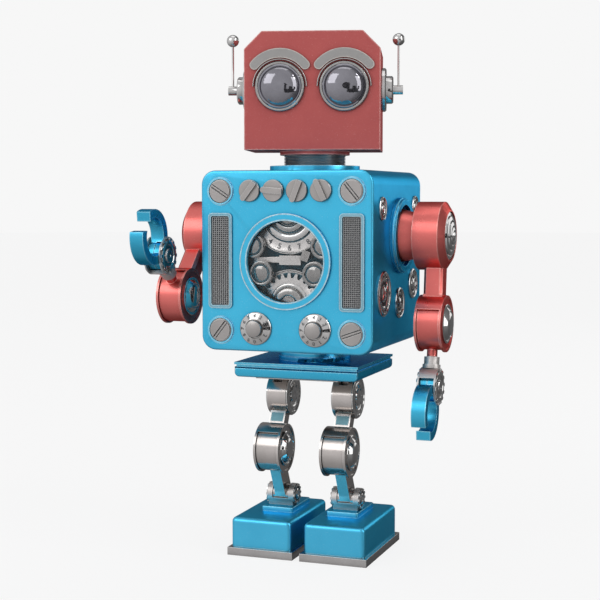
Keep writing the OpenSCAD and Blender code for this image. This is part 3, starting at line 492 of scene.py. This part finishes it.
def add_lathe(bm, profile, place, steps=72):
    """Turn (radius, height) points in millimetres about place's Z; radius 0 closes an end."""
    rings = []
    for radius, height in profile:
        if radius < 1e-6:
            rings.append([bm.verts.new(place @ Vector((0, 0, height * MM)))])
            continue
        angles = [2 * pi * i / steps for i in range(steps)]
        rings.append([bm.verts.new(place @ (Vector((radius * cos(a), radius * sin(a), height)) * MM))
                      for a in angles])
    for low, high in zip(rings, rings[1:]):
        for i in range(steps):
            j = (i + 1) % steps
            corners = [low[i % len(low)], low[j % len(low)], high[j % len(high)], high[i % len(high)]]
            unique = list(dict.fromkeys(corners))
            if len(unique) > 2:
                bm.faces.new(unique)


def bridge(bm, loops):
    """Join each closed loop of corners to the next with a band of quads."""
    for first, second in zip(loops, loops[1:]):
        for i in range(len(first)):
            j = (i + 1) % len(first)
            bm.faces.new((first[i], first[j], second[j], second[i]))


def close_ends(bm, loops):
    """Fill the first and the last of a row of bridged loops."""
    for loop in (loops[0], loops[-1]):
        bm.faces.new(loop)


def add_block(bm, size, place, taper=1.0):
    """A block of size millimetres centred on place, its +Z end scaled by taper."""
    half = Vector(size) * MM / 2
    loops = []
    for z, scale in ((-1, 1), (1, taper)):
        corners = [Vector((x * scale * half.x, y * scale * half.y, z * half.z))
                   for x, y in ((-1, -1), (1, -1), (1, 1), (-1, 1))]
        loops.append([bm.verts.new(place @ corner) for corner in corners])
    bridge(bm, loops)
    close_ends(bm, loops)


def add_ticks(bm, place, count, radius, size, height, taper=1.0):
    """A ring of small raised blocks: size is (along the radius, across it, tall)."""
    for i in range(count):
        spoke = place @ Matrix.Rotation(2 * pi * i / count, 4, "Z")
        add_block(bm, size, spoke @ Matrix.Translation(Vector((radius, 0, height)) * MM), taper)


def islands(node):
    """(lowest corner, highest corner) of each separate solid in a CAD node, in a fixed order."""
    bm = bmesh.new()
    bm.from_mesh(frame["nodes"][node].data)
    bmesh.ops.remove_doubles(bm, verts=bm.verts, dist=WELD)
    found, left = [], set(bm.verts)
    while left:
        stack, group = [left.pop()], []
        while stack:
            vert = stack.pop()
            group.append(vert.co.copy())
            for edge in vert.link_edges:
                other = edge.other_vert(vert)
                if other in left:
                    left.remove(other)
                    stack.append(other)
        found.append((Vector(min(c[k] for c in group) for k in range(3)),
                      Vector(max(c[k] for c in group) for k in range(3))))
    bm.free()
    return sorted(found, key=lambda corners: tuple(corners[0]))


# Turned profiles: (part of the outer radius, part of the height above the seat)
GAUGE_PROFILE = (
    (1.0, 0.0), (1.0, 0.5), (0.96, 0.82), (0.90, 1.0), (0.84, 0.86), (0.82, 0.32), (0.70, 0.26),
    (0.68, 0.46), (0.60, 0.5), (0.57, 0.3), (0.34, 0.3), (0.30, 0.6), (0.22, 0.86), (0.10, 0.98),
    (0.07, 0.8), (0, 0.8))
CAP_PROFILE = (
    (1.0, 0.0), (1.0, 0.22), (0.965, 0.30), (0.885, 0.32), (0.87, 0.22), (0.835, 0.22), (0.81, 0.48),
    (0.77, 0.55), (0.66, 0.58), (0.64, 0.46), (0.61, 0.46), (0.58, 0.70), (0.54, 0.77), (0.44, 0.80),
    (0.42, 0.68), (0.39, 0.68), (0.36, 0.86), (0.30, 0.91), (0.25, 0.92), (0.23, 0.80), (0.20, 0.80),
    (0.17, 0.95), (0.09, 1.0), (0, 1.0))
DOME_PROFILE = (
    (1.0, 0.0), (1.0, 0.20), (0.97, 0.28), (0.905, 0.30), (0.89, 0.20), (0.855, 0.20), (0.83, 0.30),
    (0.67, 0.76), (0.64, 0.66), (0.61, 0.66), (0.57, 0.80), (0.47, 0.92), (0.33, 0.98), (0.16, 1.0), (0, 1.0))
DISC_PROFILE = (
    (1.0, 0.0), (1.0, 0.6), (0.96, 0.76), (0.87, 0.78), (0.84, 0.5), (0.74, 0.44), (0.71, 0.62),
    (0.62, 0.66), (0.58, 0.4), (0.40, 0.36), (0.36, 0.8), (0.26, 0.95), (0.14, 1.0), (0.10, 0.8), (0, 0.8))


def scaled(profile, radius, height):
    """A profile at its real size."""
    return [(r * radius, h * height) for r, h in profile]


def side_gauges(material, shade):
    """Ringed, ticked gauges with a needle and dark bands, where the CAD's gauges are."""
    bm, dark = bmesh.new(), bmesh.new()
    for low, high in islands("side_gauges"):
        radius = (high.z - low.z) / 2 / MM
        out = 1 if low.x > 0 else -1
        seat = Vector((low.x if out > 0 else high.x, (low.y + high.y) / 2, (low.z + high.z) / 2))
        place = facing(seat, (out, 0, 0), radians(40))
        add_lathe(bm, scaled(GAUGE_PROFILE, radius, 1.0), place)
        count = 20 if radius > 9 else 12
        add_ticks(bm, place, count, radius * 0.765, (radius * 0.07, 0.22, 0.3), 0.42)
        needle = place @ Matrix.Translation(Vector((radius * 0.42, 0, 0.62)) * MM)
        add_block(bm, (radius * 0.5, 0.45, 0.25), needle, 0.7)
        ring = [(radius * 0.36, 0.26), (radius * 0.36, 0.36), (radius * 0.55, 0.36), (radius * 0.55, 0.26)]
        scale = [(radius * 0.70, 0.24), (radius * 0.70, 0.34), (radius * 0.815, 0.38), (radius * 0.815, 0.24)]
        add_lathe(dark, ring + ring[:1], place)
        add_lathe(dark, scale + scale[:1], place)
    build_detail("side_gauges_detail", bm, "side_gauges", material, 0.06)
    build_detail("side_gauges_dark", dark, "side_gauges", shade, 0, hides=False)


def build_detail(name, bm, node, material, rounding, hides=True):
    """Turn a finished bmesh into a piece that rides, and is finished, as its CAD node is."""
    bmesh.ops.recalc_face_normals(bm, faces=bm.faces)
    piece = new_piece(name, bm)
    soften(piece, rounding, segments=1 if rounding < 0.1 else 2)
    finish_piece(piece, node, material)
    if hides:
        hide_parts(node)


def arm_pins(side, out, material):
    """Shoulder cap with concentric steps, and a domed head on both ends of the elbow pin."""
    node = f"{side}_arm_pins"
    bm = bmesh.new()
    solids = sorted(islands(node), key=lambda corners: corners[0].z)
    elbow, shoulder = solids[0], solids[-1]
    centre = (shoulder[0] + shoulder[1]) / 2
    tip = shoulder[1].x if out > 0 else -shoulder[0].x
    radius = (shoulder[1].z - shoulder[0].z) / 2 / MM
    seat = Vector((out * (tip - 3.3 * MM), centre.y, centre.z))
    place = facing(seat, (out, 0, 0))
    add_lathe(bm, scaled(CAP_PROFILE, radius, 3.3), place, 96)
    add_pin_heads(bm, elbow, DOME_PROFILE, 2.3, lift=0.4)
    build_detail(node + "_detail", bm, node, material, 0)


def add_pin_heads(bm, solid, profile, height, ticks=0, lift=0.0):
    """A stepped head on each end of a hinge pin that lies along X, and the shank between them.

    lift makes the head stand out that much further than the CAD's.
    """
    centre = (solid[0] + solid[1]) / 2
    half = (solid[1].x - solid[0].x) / 2
    radius = (solid[1].z - solid[0].z) / 2 / MM
    for way in (1, -1):
        place = facing(centre + Vector((way * (half - height * MM), 0, 0)), (way, 0, 0))
        add_lathe(bm, scaled(profile, radius, height + lift), place, 96)
        if ticks:
            add_ticks(bm, place, ticks, radius * 0.5, (radius * 0.12, 0.45, 0.5), height * 0.45)
    shank = facing(centre - Vector((half - height * MM, 0, 0)), (1, 0, 0))
    add_lathe(bm, [(SHANK, 0), (SHANK, 2 * (half / MM - height))], shank, 32)


def leg_pins(side, material):
    """Ticked discs on the hip pin and domed heads on the knee pin."""
    node = f"{side}_leg_pins"
    bm = bmesh.new()
    solids = sorted(islands(node), key=lambda corners: corners[0].z)
    add_pin_heads(bm, solids[-1], DISC_PROFILE, 1.0, ticks=10)
    add_pin_heads(bm, solids[0], DOME_PROFILE, 2.2, lift=0.4)
    build_detail(node + "_detail", bm, node, material, 0)


def wrist_pin(side, material):
    """Toothed end discs of the wrist, with a stepped hub."""
    node = f"{side}_wrist_pin"
    bm = bmesh.new()
    low, high = islands(node)[0]
    centre, half = (low + high) / 2, (high.x - low.x) / 2 / MM
    radius, disc = (high.z - low.z) / 2 / MM, 0.83
    profile = ((0.86, 0), (0.86, 0.42), (0.80, 0.58), (0.62, 0.58), (0.58, 0.25), (0.40, 0.2), (0.36, 0.7),
               (0.22, disc), (0.12, disc), (0.08, 0.6), (0, 0.6))
    for way in (1, -1):
        place = facing(centre + Vector((way * (half - disc) * MM, 0, 0)), (way, 0, 0))
        add_lathe(bm, scaled(profile, radius, 1), place)
        add_ticks(bm, place, 14, radius * 0.9, (radius * 0.2, radius * 0.2, 0.5), 0.27, 0.9)
    shank = facing(centre - Vector(((half - disc) * MM, 0, 0)), (1, 0, 0))
    add_lathe(bm, [(SHANK, 0), (SHANK, 2 * (half - disc))], shank, 32)
    build_detail(node + "_detail", bm, node, material, 0.05)


def grille_weave(material, shade_backing):
    """Woven wire in each grille frame, over a dark sheet of painted shade."""
    bm, back = bmesh.new(), bmesh.new()
    for low, high in islands("grille_meshes"):
        width, height = (high.x - low.x), (high.z - low.z)
        mid_y = (low.y + high.y) / 2
        pitch = 0.9 * MM
        radius, sway = 0.19 * MM, 0.12 * MM
        columns, rows = int(width / pitch), int(height / pitch)
        for i in range(columns):
            x = low.x + (i + 0.5) * width / columns
            route = [Vector((x, mid_y + sway * (1 if (i + k) % 2 else -1), low.z + (k + 0.5) * height / rows))
                     for k in range(rows)]
            add_wire(bm, route, radius)
        for k in range(rows):
            z = low.z + (k + 0.5) * height / rows
            route = [Vector((low.x + (i + 0.5) * width / columns,
                             mid_y - sway * (1 if (i + k) % 2 else -1), z)) for i in range(columns)]
            add_wire(bm, route, radius)
        # painted shade: a dark sheet just behind the wire
        sheet = Matrix.Translation(Vector(((low.x + high.x) / 2, high.y - 0.04 * MM, (low.z + high.z) / 2)))
        add_block(back, (width / MM, 0.08, height / MM), sheet)
    build_detail("grille_weave", bm, "grille_meshes", material, 0)
    build_detail("grille_shade_sheet", back, "grille_meshes", shade_backing, 0, hides=False)


def add_wire(bm, route, radius):
    """A thin five-sided wire through the points of route."""
    rings, sides = [], 5
    for i, point in enumerate(route):
        ahead = (route[min(i + 1, len(route) - 1)] - route[max(i - 1, 0)]).normalized()
        across = ahead.cross(Vector((0, 1, 0))).normalized()
        up = across.cross(ahead)
        rings.append([bm.verts.new(point + radius * (cos(a) * across + sin(a) * up))
                      for a in (2 * pi * k / sides for k in range(sides))])
    bridge(bm, rings)
    close_ends(bm, rings)


def neck_and_waist(material):
    """Ribbed bushes: the neck's has seven fine ribs, the waist's is plain with two grooves."""
    bm = bmesh.new()
    neck, waist = sorted(islands("swivel_bushes"), key=lambda corners: -corners[0].z)
    for (low, high), ribs, inner in ((neck, 7, 6.1), (waist, 3, 8.1)):
        radius, height = (high.x - low.x) / 2 / MM, (high.z - low.z) / MM
        step = height / ribs
        profile = [(inner, 0)]
        for k in range(ribs):
            base = k * step
            profile += [(radius - 0.7, base), (radius - 0.1, base + 0.15 * step), (radius, base + 0.4 * step),
                        (radius - 0.1, base + 0.65 * step), (radius - 0.7, base + 0.8 * step)]
        profile += [(radius - 0.7, height), (inner, height), (inner, 0)]
        add_lathe(bm, profile, Matrix.Translation(Vector((0, 0, low.z))), 96)
    build_detail("swivel_bushes_detail", bm, "swivel_bushes", material, 0)


def number_ring(name, node, centre, radius, size, count, front, material, out=1, lean=0.0):
    """Digits round centre on a face that looks forward; out is 1 to stand with their heads outward.

    lean tips their heads back, for a coned face.
    """
    bm = bmesh.new()
    for i in range(count):
        curve = bpy.data.curves.new("digit", "FONT")
        curve.body = str((i + 1) % 10)
        curve.size = size * MM
        curve.extrude = 0.12 * MM
        curve.offset = 0.02 * MM * size
        curve.align_x, curve.align_y = "CENTER", "CENTER"
        holder = bpy.data.objects.new("digit", curve)
        bpy.context.collection.objects.link(holder)
        angle = 2 * pi * i / count
        turn = (Matrix.Rotation(pi / 2, 4, "X") @ Matrix.Rotation(angle - out * pi / 2, 4, "Z")
                @ Matrix.Rotation(-lean, 4, "X"))
        spot = Vector((centre.x + radius * MM * cos(angle), front, centre.z + radius * MM * sin(angle)))
        mesh = bpy.data.meshes.new_from_object(holder.evaluated_get(bpy.context.evaluated_depsgraph_get()))
        mesh.transform(Matrix.Translation(spot) @ turn)
        bm.from_mesh(mesh)
        bpy.data.objects.remove(holder)
        bpy.data.meshes.remove(mesh)
    build_detail(name, bm, node, material, 0, hides=False)


def middle(node):
    """Centre of a CAD node's box."""
    low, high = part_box(node)
    return (low + high) / 2


def add_washer(bm, centre, inner, outer, front, depth):
    """A flat ring about a line along Y, from front back by depth."""
    profile = [(inner, 0), (inner, depth), (outer, depth), (outer, 0), (inner, 0)]
    add_lathe(bm, profile, facing(Vector((centre.x, front + depth * MM, centre.z)), (0, -1, 0)), 96)


def add_bead(bm, centre, radius, width, seat, height):
    """A round raised ring about a line along Y, on a face at seat."""
    half = width / 2
    inner = [(-1, -0.05), (-1, 0.1), (-0.7, 0.7 * height), (-0.25, height)]
    section = inner + [(-part, h) for part, h in reversed(inner)] + inner[:1]
    profile = [(radius + part * half, h) for part, h in section]
    add_lathe(bm, profile, facing(Vector((centre.x, seat, centre.z)), (0, -1, 0)), 96)


def wheel_marks(m):
    """Digits and polished rims on the two large wheels, and thin dark rings of painted shade in their
    grooves.
    """
    upper, lower = middle("upper_wheel"), middle("lower_wheel")
    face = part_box("upper_wheel")[0].y
    number_ring("wheel_digits", "upper_wheel", upper, 15.35, 3.4, 20, face + 1.85 * MM, m["digit_black"],
                out=-1)
    # painted shade: thin dark rings laid in the upper wheel's grooves
    grooves, rims = bmesh.new(), bmesh.new()
    add_washer(grooves, upper, 12.15, 12.95, face + 2.45 * MM, 0.15)
    add_washer(grooves, upper, 8.25, 8.85, face + 1.66 * MM, 0.1)
    add_washer(grooves, upper, 4.75, 5.35, face + 1.35 * MM, 0.1)
    for radius, width, seat in ((17.8, 0.8, 1.6), (10.7, 2.6, 1.3), (6.65, 2.3, 0.6)):
        add_bead(rims, upper, radius, width, face + seat * MM, 0.45)
    build_detail("upper_wheel_groove_shade", grooves, "upper_wheel", m["movement_dark"], 0, hides=False)
    build_detail("upper_wheel_rims", rims, "upper_wheel", m["bright"], 0, hides=False)
    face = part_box("lower_wheel")[0].y
    # painted shade: thin dark rings laid on the lower wheel's face
    gap_shade, rims = bmesh.new(), bmesh.new()
    add_washer(gap_shade, lower, 11.3, 13.7, face + 3.05 * MM, 0.2)
    add_washer(gap_shade, lower, 9.05, 9.6, face + 3.0 * MM, 0.2)
    for radius, width, seat in ((14.85, 0.9, 2.8), (8.1, 1.7, 1.6), (4.9, 3.0, 0.6)):
        add_bead(rims, lower, radius, width, face + seat * MM, 0.45)
    build_detail("lower_wheel_gap_shade", gap_shade, "lower_wheel", m["movement_dark"], 0, hides=False)
    build_detail("lower_wheel_rims", rims, "lower_wheel", m["bright"], 0, hides=False)


def bezel_rims(material):
    """A thin pale rim on the inner and outer edge of the window's bezel."""
    centre, face = middle("window_bezel"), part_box("window_bezel")[0].y
    bm = bmesh.new()
    for radius in (18.45, 21.15):
        add_bead(bm, centre, radius, 0.5, face, 0.12)
    build_detail("bezel_rims", bm, "window_bezel", material, 0, hides=False)


def eye_seals(material):
    """A rounded ring that closes the gap between each eye dome and its bezel."""
    bm = bmesh.new()
    forward = Vector((sin(HEAD_TURN), -cos(HEAD_TURN), 0))
    profile = [(8.7, 1.0), (8.75, 1.65), (9.1, 1.95), (9.6, 1.9), (9.9, 1.65), (9.9, 1.2), (8.7, 1.0)]
    for low, high in islands("eye_lenses"):
        base = (low + high) / 2
        base.y = high.y - (high.z - low.z) / 2 * sin(HEAD_TURN)
        add_lathe(bm, profile, facing(base, forward), 96)
    build_detail("eye_seals", bm, "eye_bezels", material, 0, hides=False)


def bush_heads(m):
    """A polished rim and a low flat cap on each round bush in the window, with a thin dark ring of painted
    shade between them.
    """
    rims, shade = bmesh.new(), bmesh.new()
    smallest_bush = 11 * MM
    for low, high in islands("movement_pillars"):
        if high.z - low.z > smallest_bush:
            centre, radius = (low + high) / 2, (high.z - low.z) / 2 / MM
            add_bead(rims, centre, radius - 0.75, 1.3, low.y, 0.35)
            cap = [(0, 0.3), (radius * 0.52, 0.3), (radius * 0.58, 0.12), (radius * 0.58, -0.05), (0, -0.05)]
            add_lathe(rims, cap, facing(Vector((centre.x, low.y, centre.z)), (0, -1, 0)))
            # painted shade: a dark ring between the cap and the rim
            add_washer(shade, centre, radius * 0.60, radius * 0.70, low.y - 0.04 * MM, 0.1)
    build_detail("bush_heads", rims, "movement_pillars", m["bright"], 0, hides=False)
    build_detail("bush_groove_shade", shade, "movement_pillars", m["movement_dark"], 0, hides=False)


def dial_faces(side, m):
    """A polished cone with dark digits, and a flat gray cap in its middle."""
    node = f"{side}_dial"
    front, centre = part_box(node)[0].y, middle(node)
    place = facing(Vector((centre.x, front + 3.8 * MM, centre.z)), (0, -1, 0))
    cone, cap = bmesh.new(), bmesh.new()
    add_lathe(cone, [(SHANK, -4), (SHANK, 0), (7.5, 0), (7.5, 0.55), (7.3, 0.85), (6.9, 1.05), (4.4, 2.3),
                     (4.15, 2.2), (4.05, 1.7), (0, 1.7)], place, 96)
    add_lathe(cap, [(3.75, 1.6), (3.75, 3.3), (3.6, 3.62), (3.3, 3.78), (0, 3.8)], place, 96)
    build_detail(node + "_cone", cone, node, m["bright"], 0)
    build_detail(node + "_cap", cap, node, m["screw_steel"], 0, hides=False)
    number_ring(node + "_digits", node, centre, 5.75, 2.5, 12, front + 2.16 * MM, m["digit_black"],
                lean=radians(26))


# Turn of each case screw's slot in degrees, by the side of the front it is on and whether it is high or low
SLOT_TURN = {(-1, 1): -33, (1, 1): -50, (-1, -1): 52, (1, -1): 20}


def add_half_disc(bm, place, radius, slot, low, high):
    """The part of a disc above a slot through its middle, from the height low to the height high."""
    start, steps = asin(slot / 2 / radius), 36
    angles = [start + (pi - 2 * start) * i / steps for i in range(steps + 1)]
    rings = [[bm.verts.new(place @ (Vector((radius * cos(a), radius * sin(a), h)) * MM)) for a in angles]
             for h in (low, high)]
    bridge(bm, rings)
    close_ends(bm, rings)


def screw_heads(m):
    """Flat slotted heads: two half discs on a base, a low bar in the slot between them, and a dark sheet of
    painted shade at the slot's bottom.
    """
    heads, slots = bmesh.new(), bmesh.new()
    case = middle("back_cover")
    base = ((SHANK, -8.3), (SHANK, -1.3), (5.3, -1.3), (5.3, -0.95), (5.1, -0.75), (0, -0.75))
    for low, high in islands("case_screws"):
        centre = (low + high) / 2
        ahead = centre.y < 0
        key = (1 if centre.x > 0 else -1, 1 if centre.z > case.z else -1)
        tip = low.y if ahead else high.y
        place = (Matrix.Translation((centre.x, tip, centre.z)) @ Matrix.Rotation(0 if ahead else pi, 4, "Z")
                 @ Matrix.Rotation(pi / 2, 4, "X") @ Matrix.Rotation(radians(SLOT_TURN[key]), 4, "Z"))
        add_lathe(heads, base, place)
        for way in (0, pi):
            add_half_disc(heads, place @ Matrix.Rotation(way, 4, "Z"), 4.75, 1.7, -0.95, -0.05)
        add_block(heads, (9.1, 0.8, 0.4), place @ Matrix.Translation((0, 0, -0.55 * MM)))
        # painted shade: a dark sheet at the bottom of the slot
        add_block(slots, (9.3, 1.6, 0.06), place @ Matrix.Translation((0, 0, -0.71 * MM)))
    build_detail("screw_heads", heads, "case_screws", m["screw_steel"], 0.12)
    build_detail("screw_slots", slots, "case_screws", m["digit_black"], 0, hides=False)


def ankle_teeth(side, material, shade):
    """A ring of teeth over a dark band, round the hub on both sides of the ankle."""
    node = f"{side}_ankle_bracket"
    centre = Vector(JOINTS[f"{side}_ankle_tilt"]["pos_m"])
    bm, dark = bmesh.new(), bmesh.new()
    for way in (1, -1):
        place = facing(centre + Vector((way * 6.6 * MM, 0, 0)), (way, 0, 0))
        add_ticks(bm, place, 12, 4.2, (1.5, 1.1, 0.7), 0.3, 0.85)
        add_lathe(bm, [(2.6, 0), (2.6, 0.6), (2.3, 0.8), (1.2, 0.9), (0.8, 0.6), (0, 0.6)], place, 48)
        band = [(2.6, -0.1), (2.6, 0.48), (4.8, 0.3), (4.8, -0.1)]
        add_lathe(dark, band + band[:1], place)
    build_detail(node + "_teeth", bm, node, material, 0.05, hides=False)
    build_detail(node + "_dark_band", dark, node, shade, 0, hides=False)


def foot_loop(bm, half, height, corner, inset, y, centre_x, floor):
    """One outline of the foot, inset from full size: flat bottom, upright sides and round top corners."""
    wide, top, radius = half - inset, height - inset, corner - 0.97 * inset
    turns = [pi / 2 * i / 7 for i in range(8)]
    right = [(wide - radius + radius * cos(a), top - radius + radius * sin(a)) for a in turns]
    left = [(-x, z) for x, z in reversed(right)]
    points = [(-wide, 0), (wide, 0)] + right + left
    return [bm.verts.new((centre_x + x * MM, y, floor + z * MM)) for x, z in points]


def add_pad(bm, top, half_w, half_d, corner):
    """A raised pad with round corners; top is the middle of its upper face."""
    loops = []
    for inset, height in ((0, -2.5), (0, -0.35), (0.1, -0.1), (0.35, 0)):
        loop = []
        for quarter, (x, y) in enumerate(((1, 1), (-1, 1), (-1, -1), (1, -1))):
            for step in range(6):
                a = pi / 2 * (quarter + step / 5)
                spot = Vector((x * (half_w - corner) + (corner - inset) * cos(a),
                               y * (half_d - corner) + (corner - inset) * sin(a), height))
                loop.append(bm.verts.new(top + spot * MM))
        loops.append(loop)
    bridge(bm, loops)
    close_ends(bm, loops)


def foot_cover(side, material):
    """A pressed foot with softly rounded front and back, and the raised pad under the ankle."""
    node = f"{side}_foot_cover"
    low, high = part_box(node)
    half, height = (high.x - low.x) / 2 / MM, (high.z - low.z) / MM - 2.4
    corner, turns = 2.2, [pi / 2 * i / 6 for i in range(7)]
    ends = [(corner * (1 - sin(t)), corner * (1 - cos(t)) * MM) for t in turns]
    stations = [(inset, low.y + step) for inset, step in ends]
    stations += [(inset, high.y - step) for inset, step in reversed(ends)]
    bm = bmesh.new()
    centre_x = (low.x + high.x) / 2
    loops = [foot_loop(bm, half, height, corner, inset, y, centre_x, low.z) for inset, y in stations]
    bridge(bm, loops)
    close_ends(bm, loops)
    pad = Vector((JOINTS[f"{side}_ankle_tilt"]["pos_m"][0], 4.75 * MM, high.z))
    add_pad(bm, pad, 7.8, 12.75, 1.2)
    build_detail(node + "_pressing", bm, node, material, 0.2)


def thigh_plate(side, material):
    """A thin plate let into the front of the thigh's strap, leaving a bright border."""
    node = f"{side}_thigh"
    hip = Vector(JOINTS[f"{side}_hip_swing"]["pos_m"])
    knee = Vector(JOINTS[f"{side}_knee_bend"]["pos_m"])
    up, across = (hip - knee).normalized(), Vector((1, 0, 0))
    ahead = across.cross(up)
    top, bottom = hip - 10.6 * MM * up, knee + 12 * MM * up
    place = Matrix((across, up, ahead)).transposed().to_4x4()
    place.translation = (top + bottom) / 2 + 2.92 * MM * ahead
    bm = bmesh.new()
    add_block(bm, (6.3, (top - bottom).length / MM, 0.16), place)
    build_detail(node + "_plate", bm, node, material, 0.04, hides=False)


# Turn of each selector knob's bar in degrees
KNOB_TURN = (52, -5, 68, -65)


def selector_knobs(material):
    """Round knobs with a pointed grip bar across the face."""
    outline = ((-5.4, 0.5), (-4.6, 1.3), (4.7, 1.3), (4.7, -1.3), (-4.6, -1.3), (-5.4, -0.5))
    for number, turn in enumerate(KNOB_TURN, 1):
        node = f"selector_knob_{number}"
        axis = JOINTS[f"selector_{number}_turn"]["pos_m"]
        seat = Vector((axis[0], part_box(node)[0].y + 2.4 * MM, axis[2]))
        place = (Matrix.Translation(seat) @ Matrix.Rotation(pi / 2, 4, "X")
                 @ Matrix.Rotation(radians(turn), 4, "Z"))
        bm = bmesh.new()
        add_lathe(bm, [(SHANK, -4), (SHANK, 0), (4.95, 0), (4.95, 0.95), (4.7, 1.25), (0, 1.3)], place)
        rings = [[bm.verts.new(place @ (Vector((x, y, h)) * MM)) for x, y in outline] for h in (1.2, 2.4)]
        bridge(bm, rings)
        close_ends(bm, rings)
        build_detail(node + "_grip", bm, node, material, 0.12)


def robot_details(m):
    """Every piece that is built here and not remade from its CAD node."""
    side_gauges(m["bright"], m["digit_black"])
    grille_weave(m["mesh_gray"], m["digit_black"])
    neck_and_waist(m["black_metal"])
    wheel_marks(m)
    bezel_rims(m["frame_blue"])
    eye_seals(m["eye_dome"])
    bush_heads(m)
    screw_heads(m)
    selector_knobs(m["screw_steel"])
    for side, out in (("left", 1), ("right", -1)):
        dial_faces(side, m)
        ankle_teeth(side, m["bright"], m["digit_black"])
        thigh_plate(side, m["strap_steel"])
        foot_cover(side, m["foot_blue"])
        arm_pins(side, out, m["bright"])
        leg_pins(side, m["bright"])
        wrist_pin(side, m["bright"])


def refine_all(m, skip):
    """Remake every node that isn't in skip."""
    for node in sorted(set(BODY_OF) - set(skip)):
        refine(node, m[FINISH.get(node, SLOT_OF[node])], ROUNDING.get(node, USUAL_ROUNDING))


add_camera()
add_world()
add_floor()
add_dark_stand()
add_area_light("key", (-0.75, -1.15, 0.95), (1.1, 0.9), 5)
add_area_light("right", (1.15, -0.35, 0.45), (0.6, 1.1), 4)
add_area_light("top", (0.0, 0.1, 1.2), (0.7, 0.7), 1.2)
add_area_light("rear", (0.55, 0.95, 0.38), (0.6, 0.5), 1.0)
add_area_light("catch_1", (0.96, -0.11, 1.12), (0.12, 0.12), 0.7)
add_area_light("catch_2", (1.08, -0.10, 0.92), (0.12, 0.12), 0.7)
bpy.context.scene.view_settings.view_transform = "Standard"

# Nodes that robot_details stands for; every other node is remade by refine_all
BUILT_HERE = ["side_gauges", "grille_meshes", "swivel_bushes", "case_screws"]
BUILT_HERE += [f"selector_knob_{number}" for number in range(1, len(KNOB_TURN) + 1)]
BUILT_HERE += [f"{side}_{part}" for side in ("left", "right")
               for part in ("dial", "arm_pins", "leg_pins", "wrist_pin", "foot_cover")]
materials = make_materials()
refine_all(materials, BUILT_HERE)
robot_details(materials)
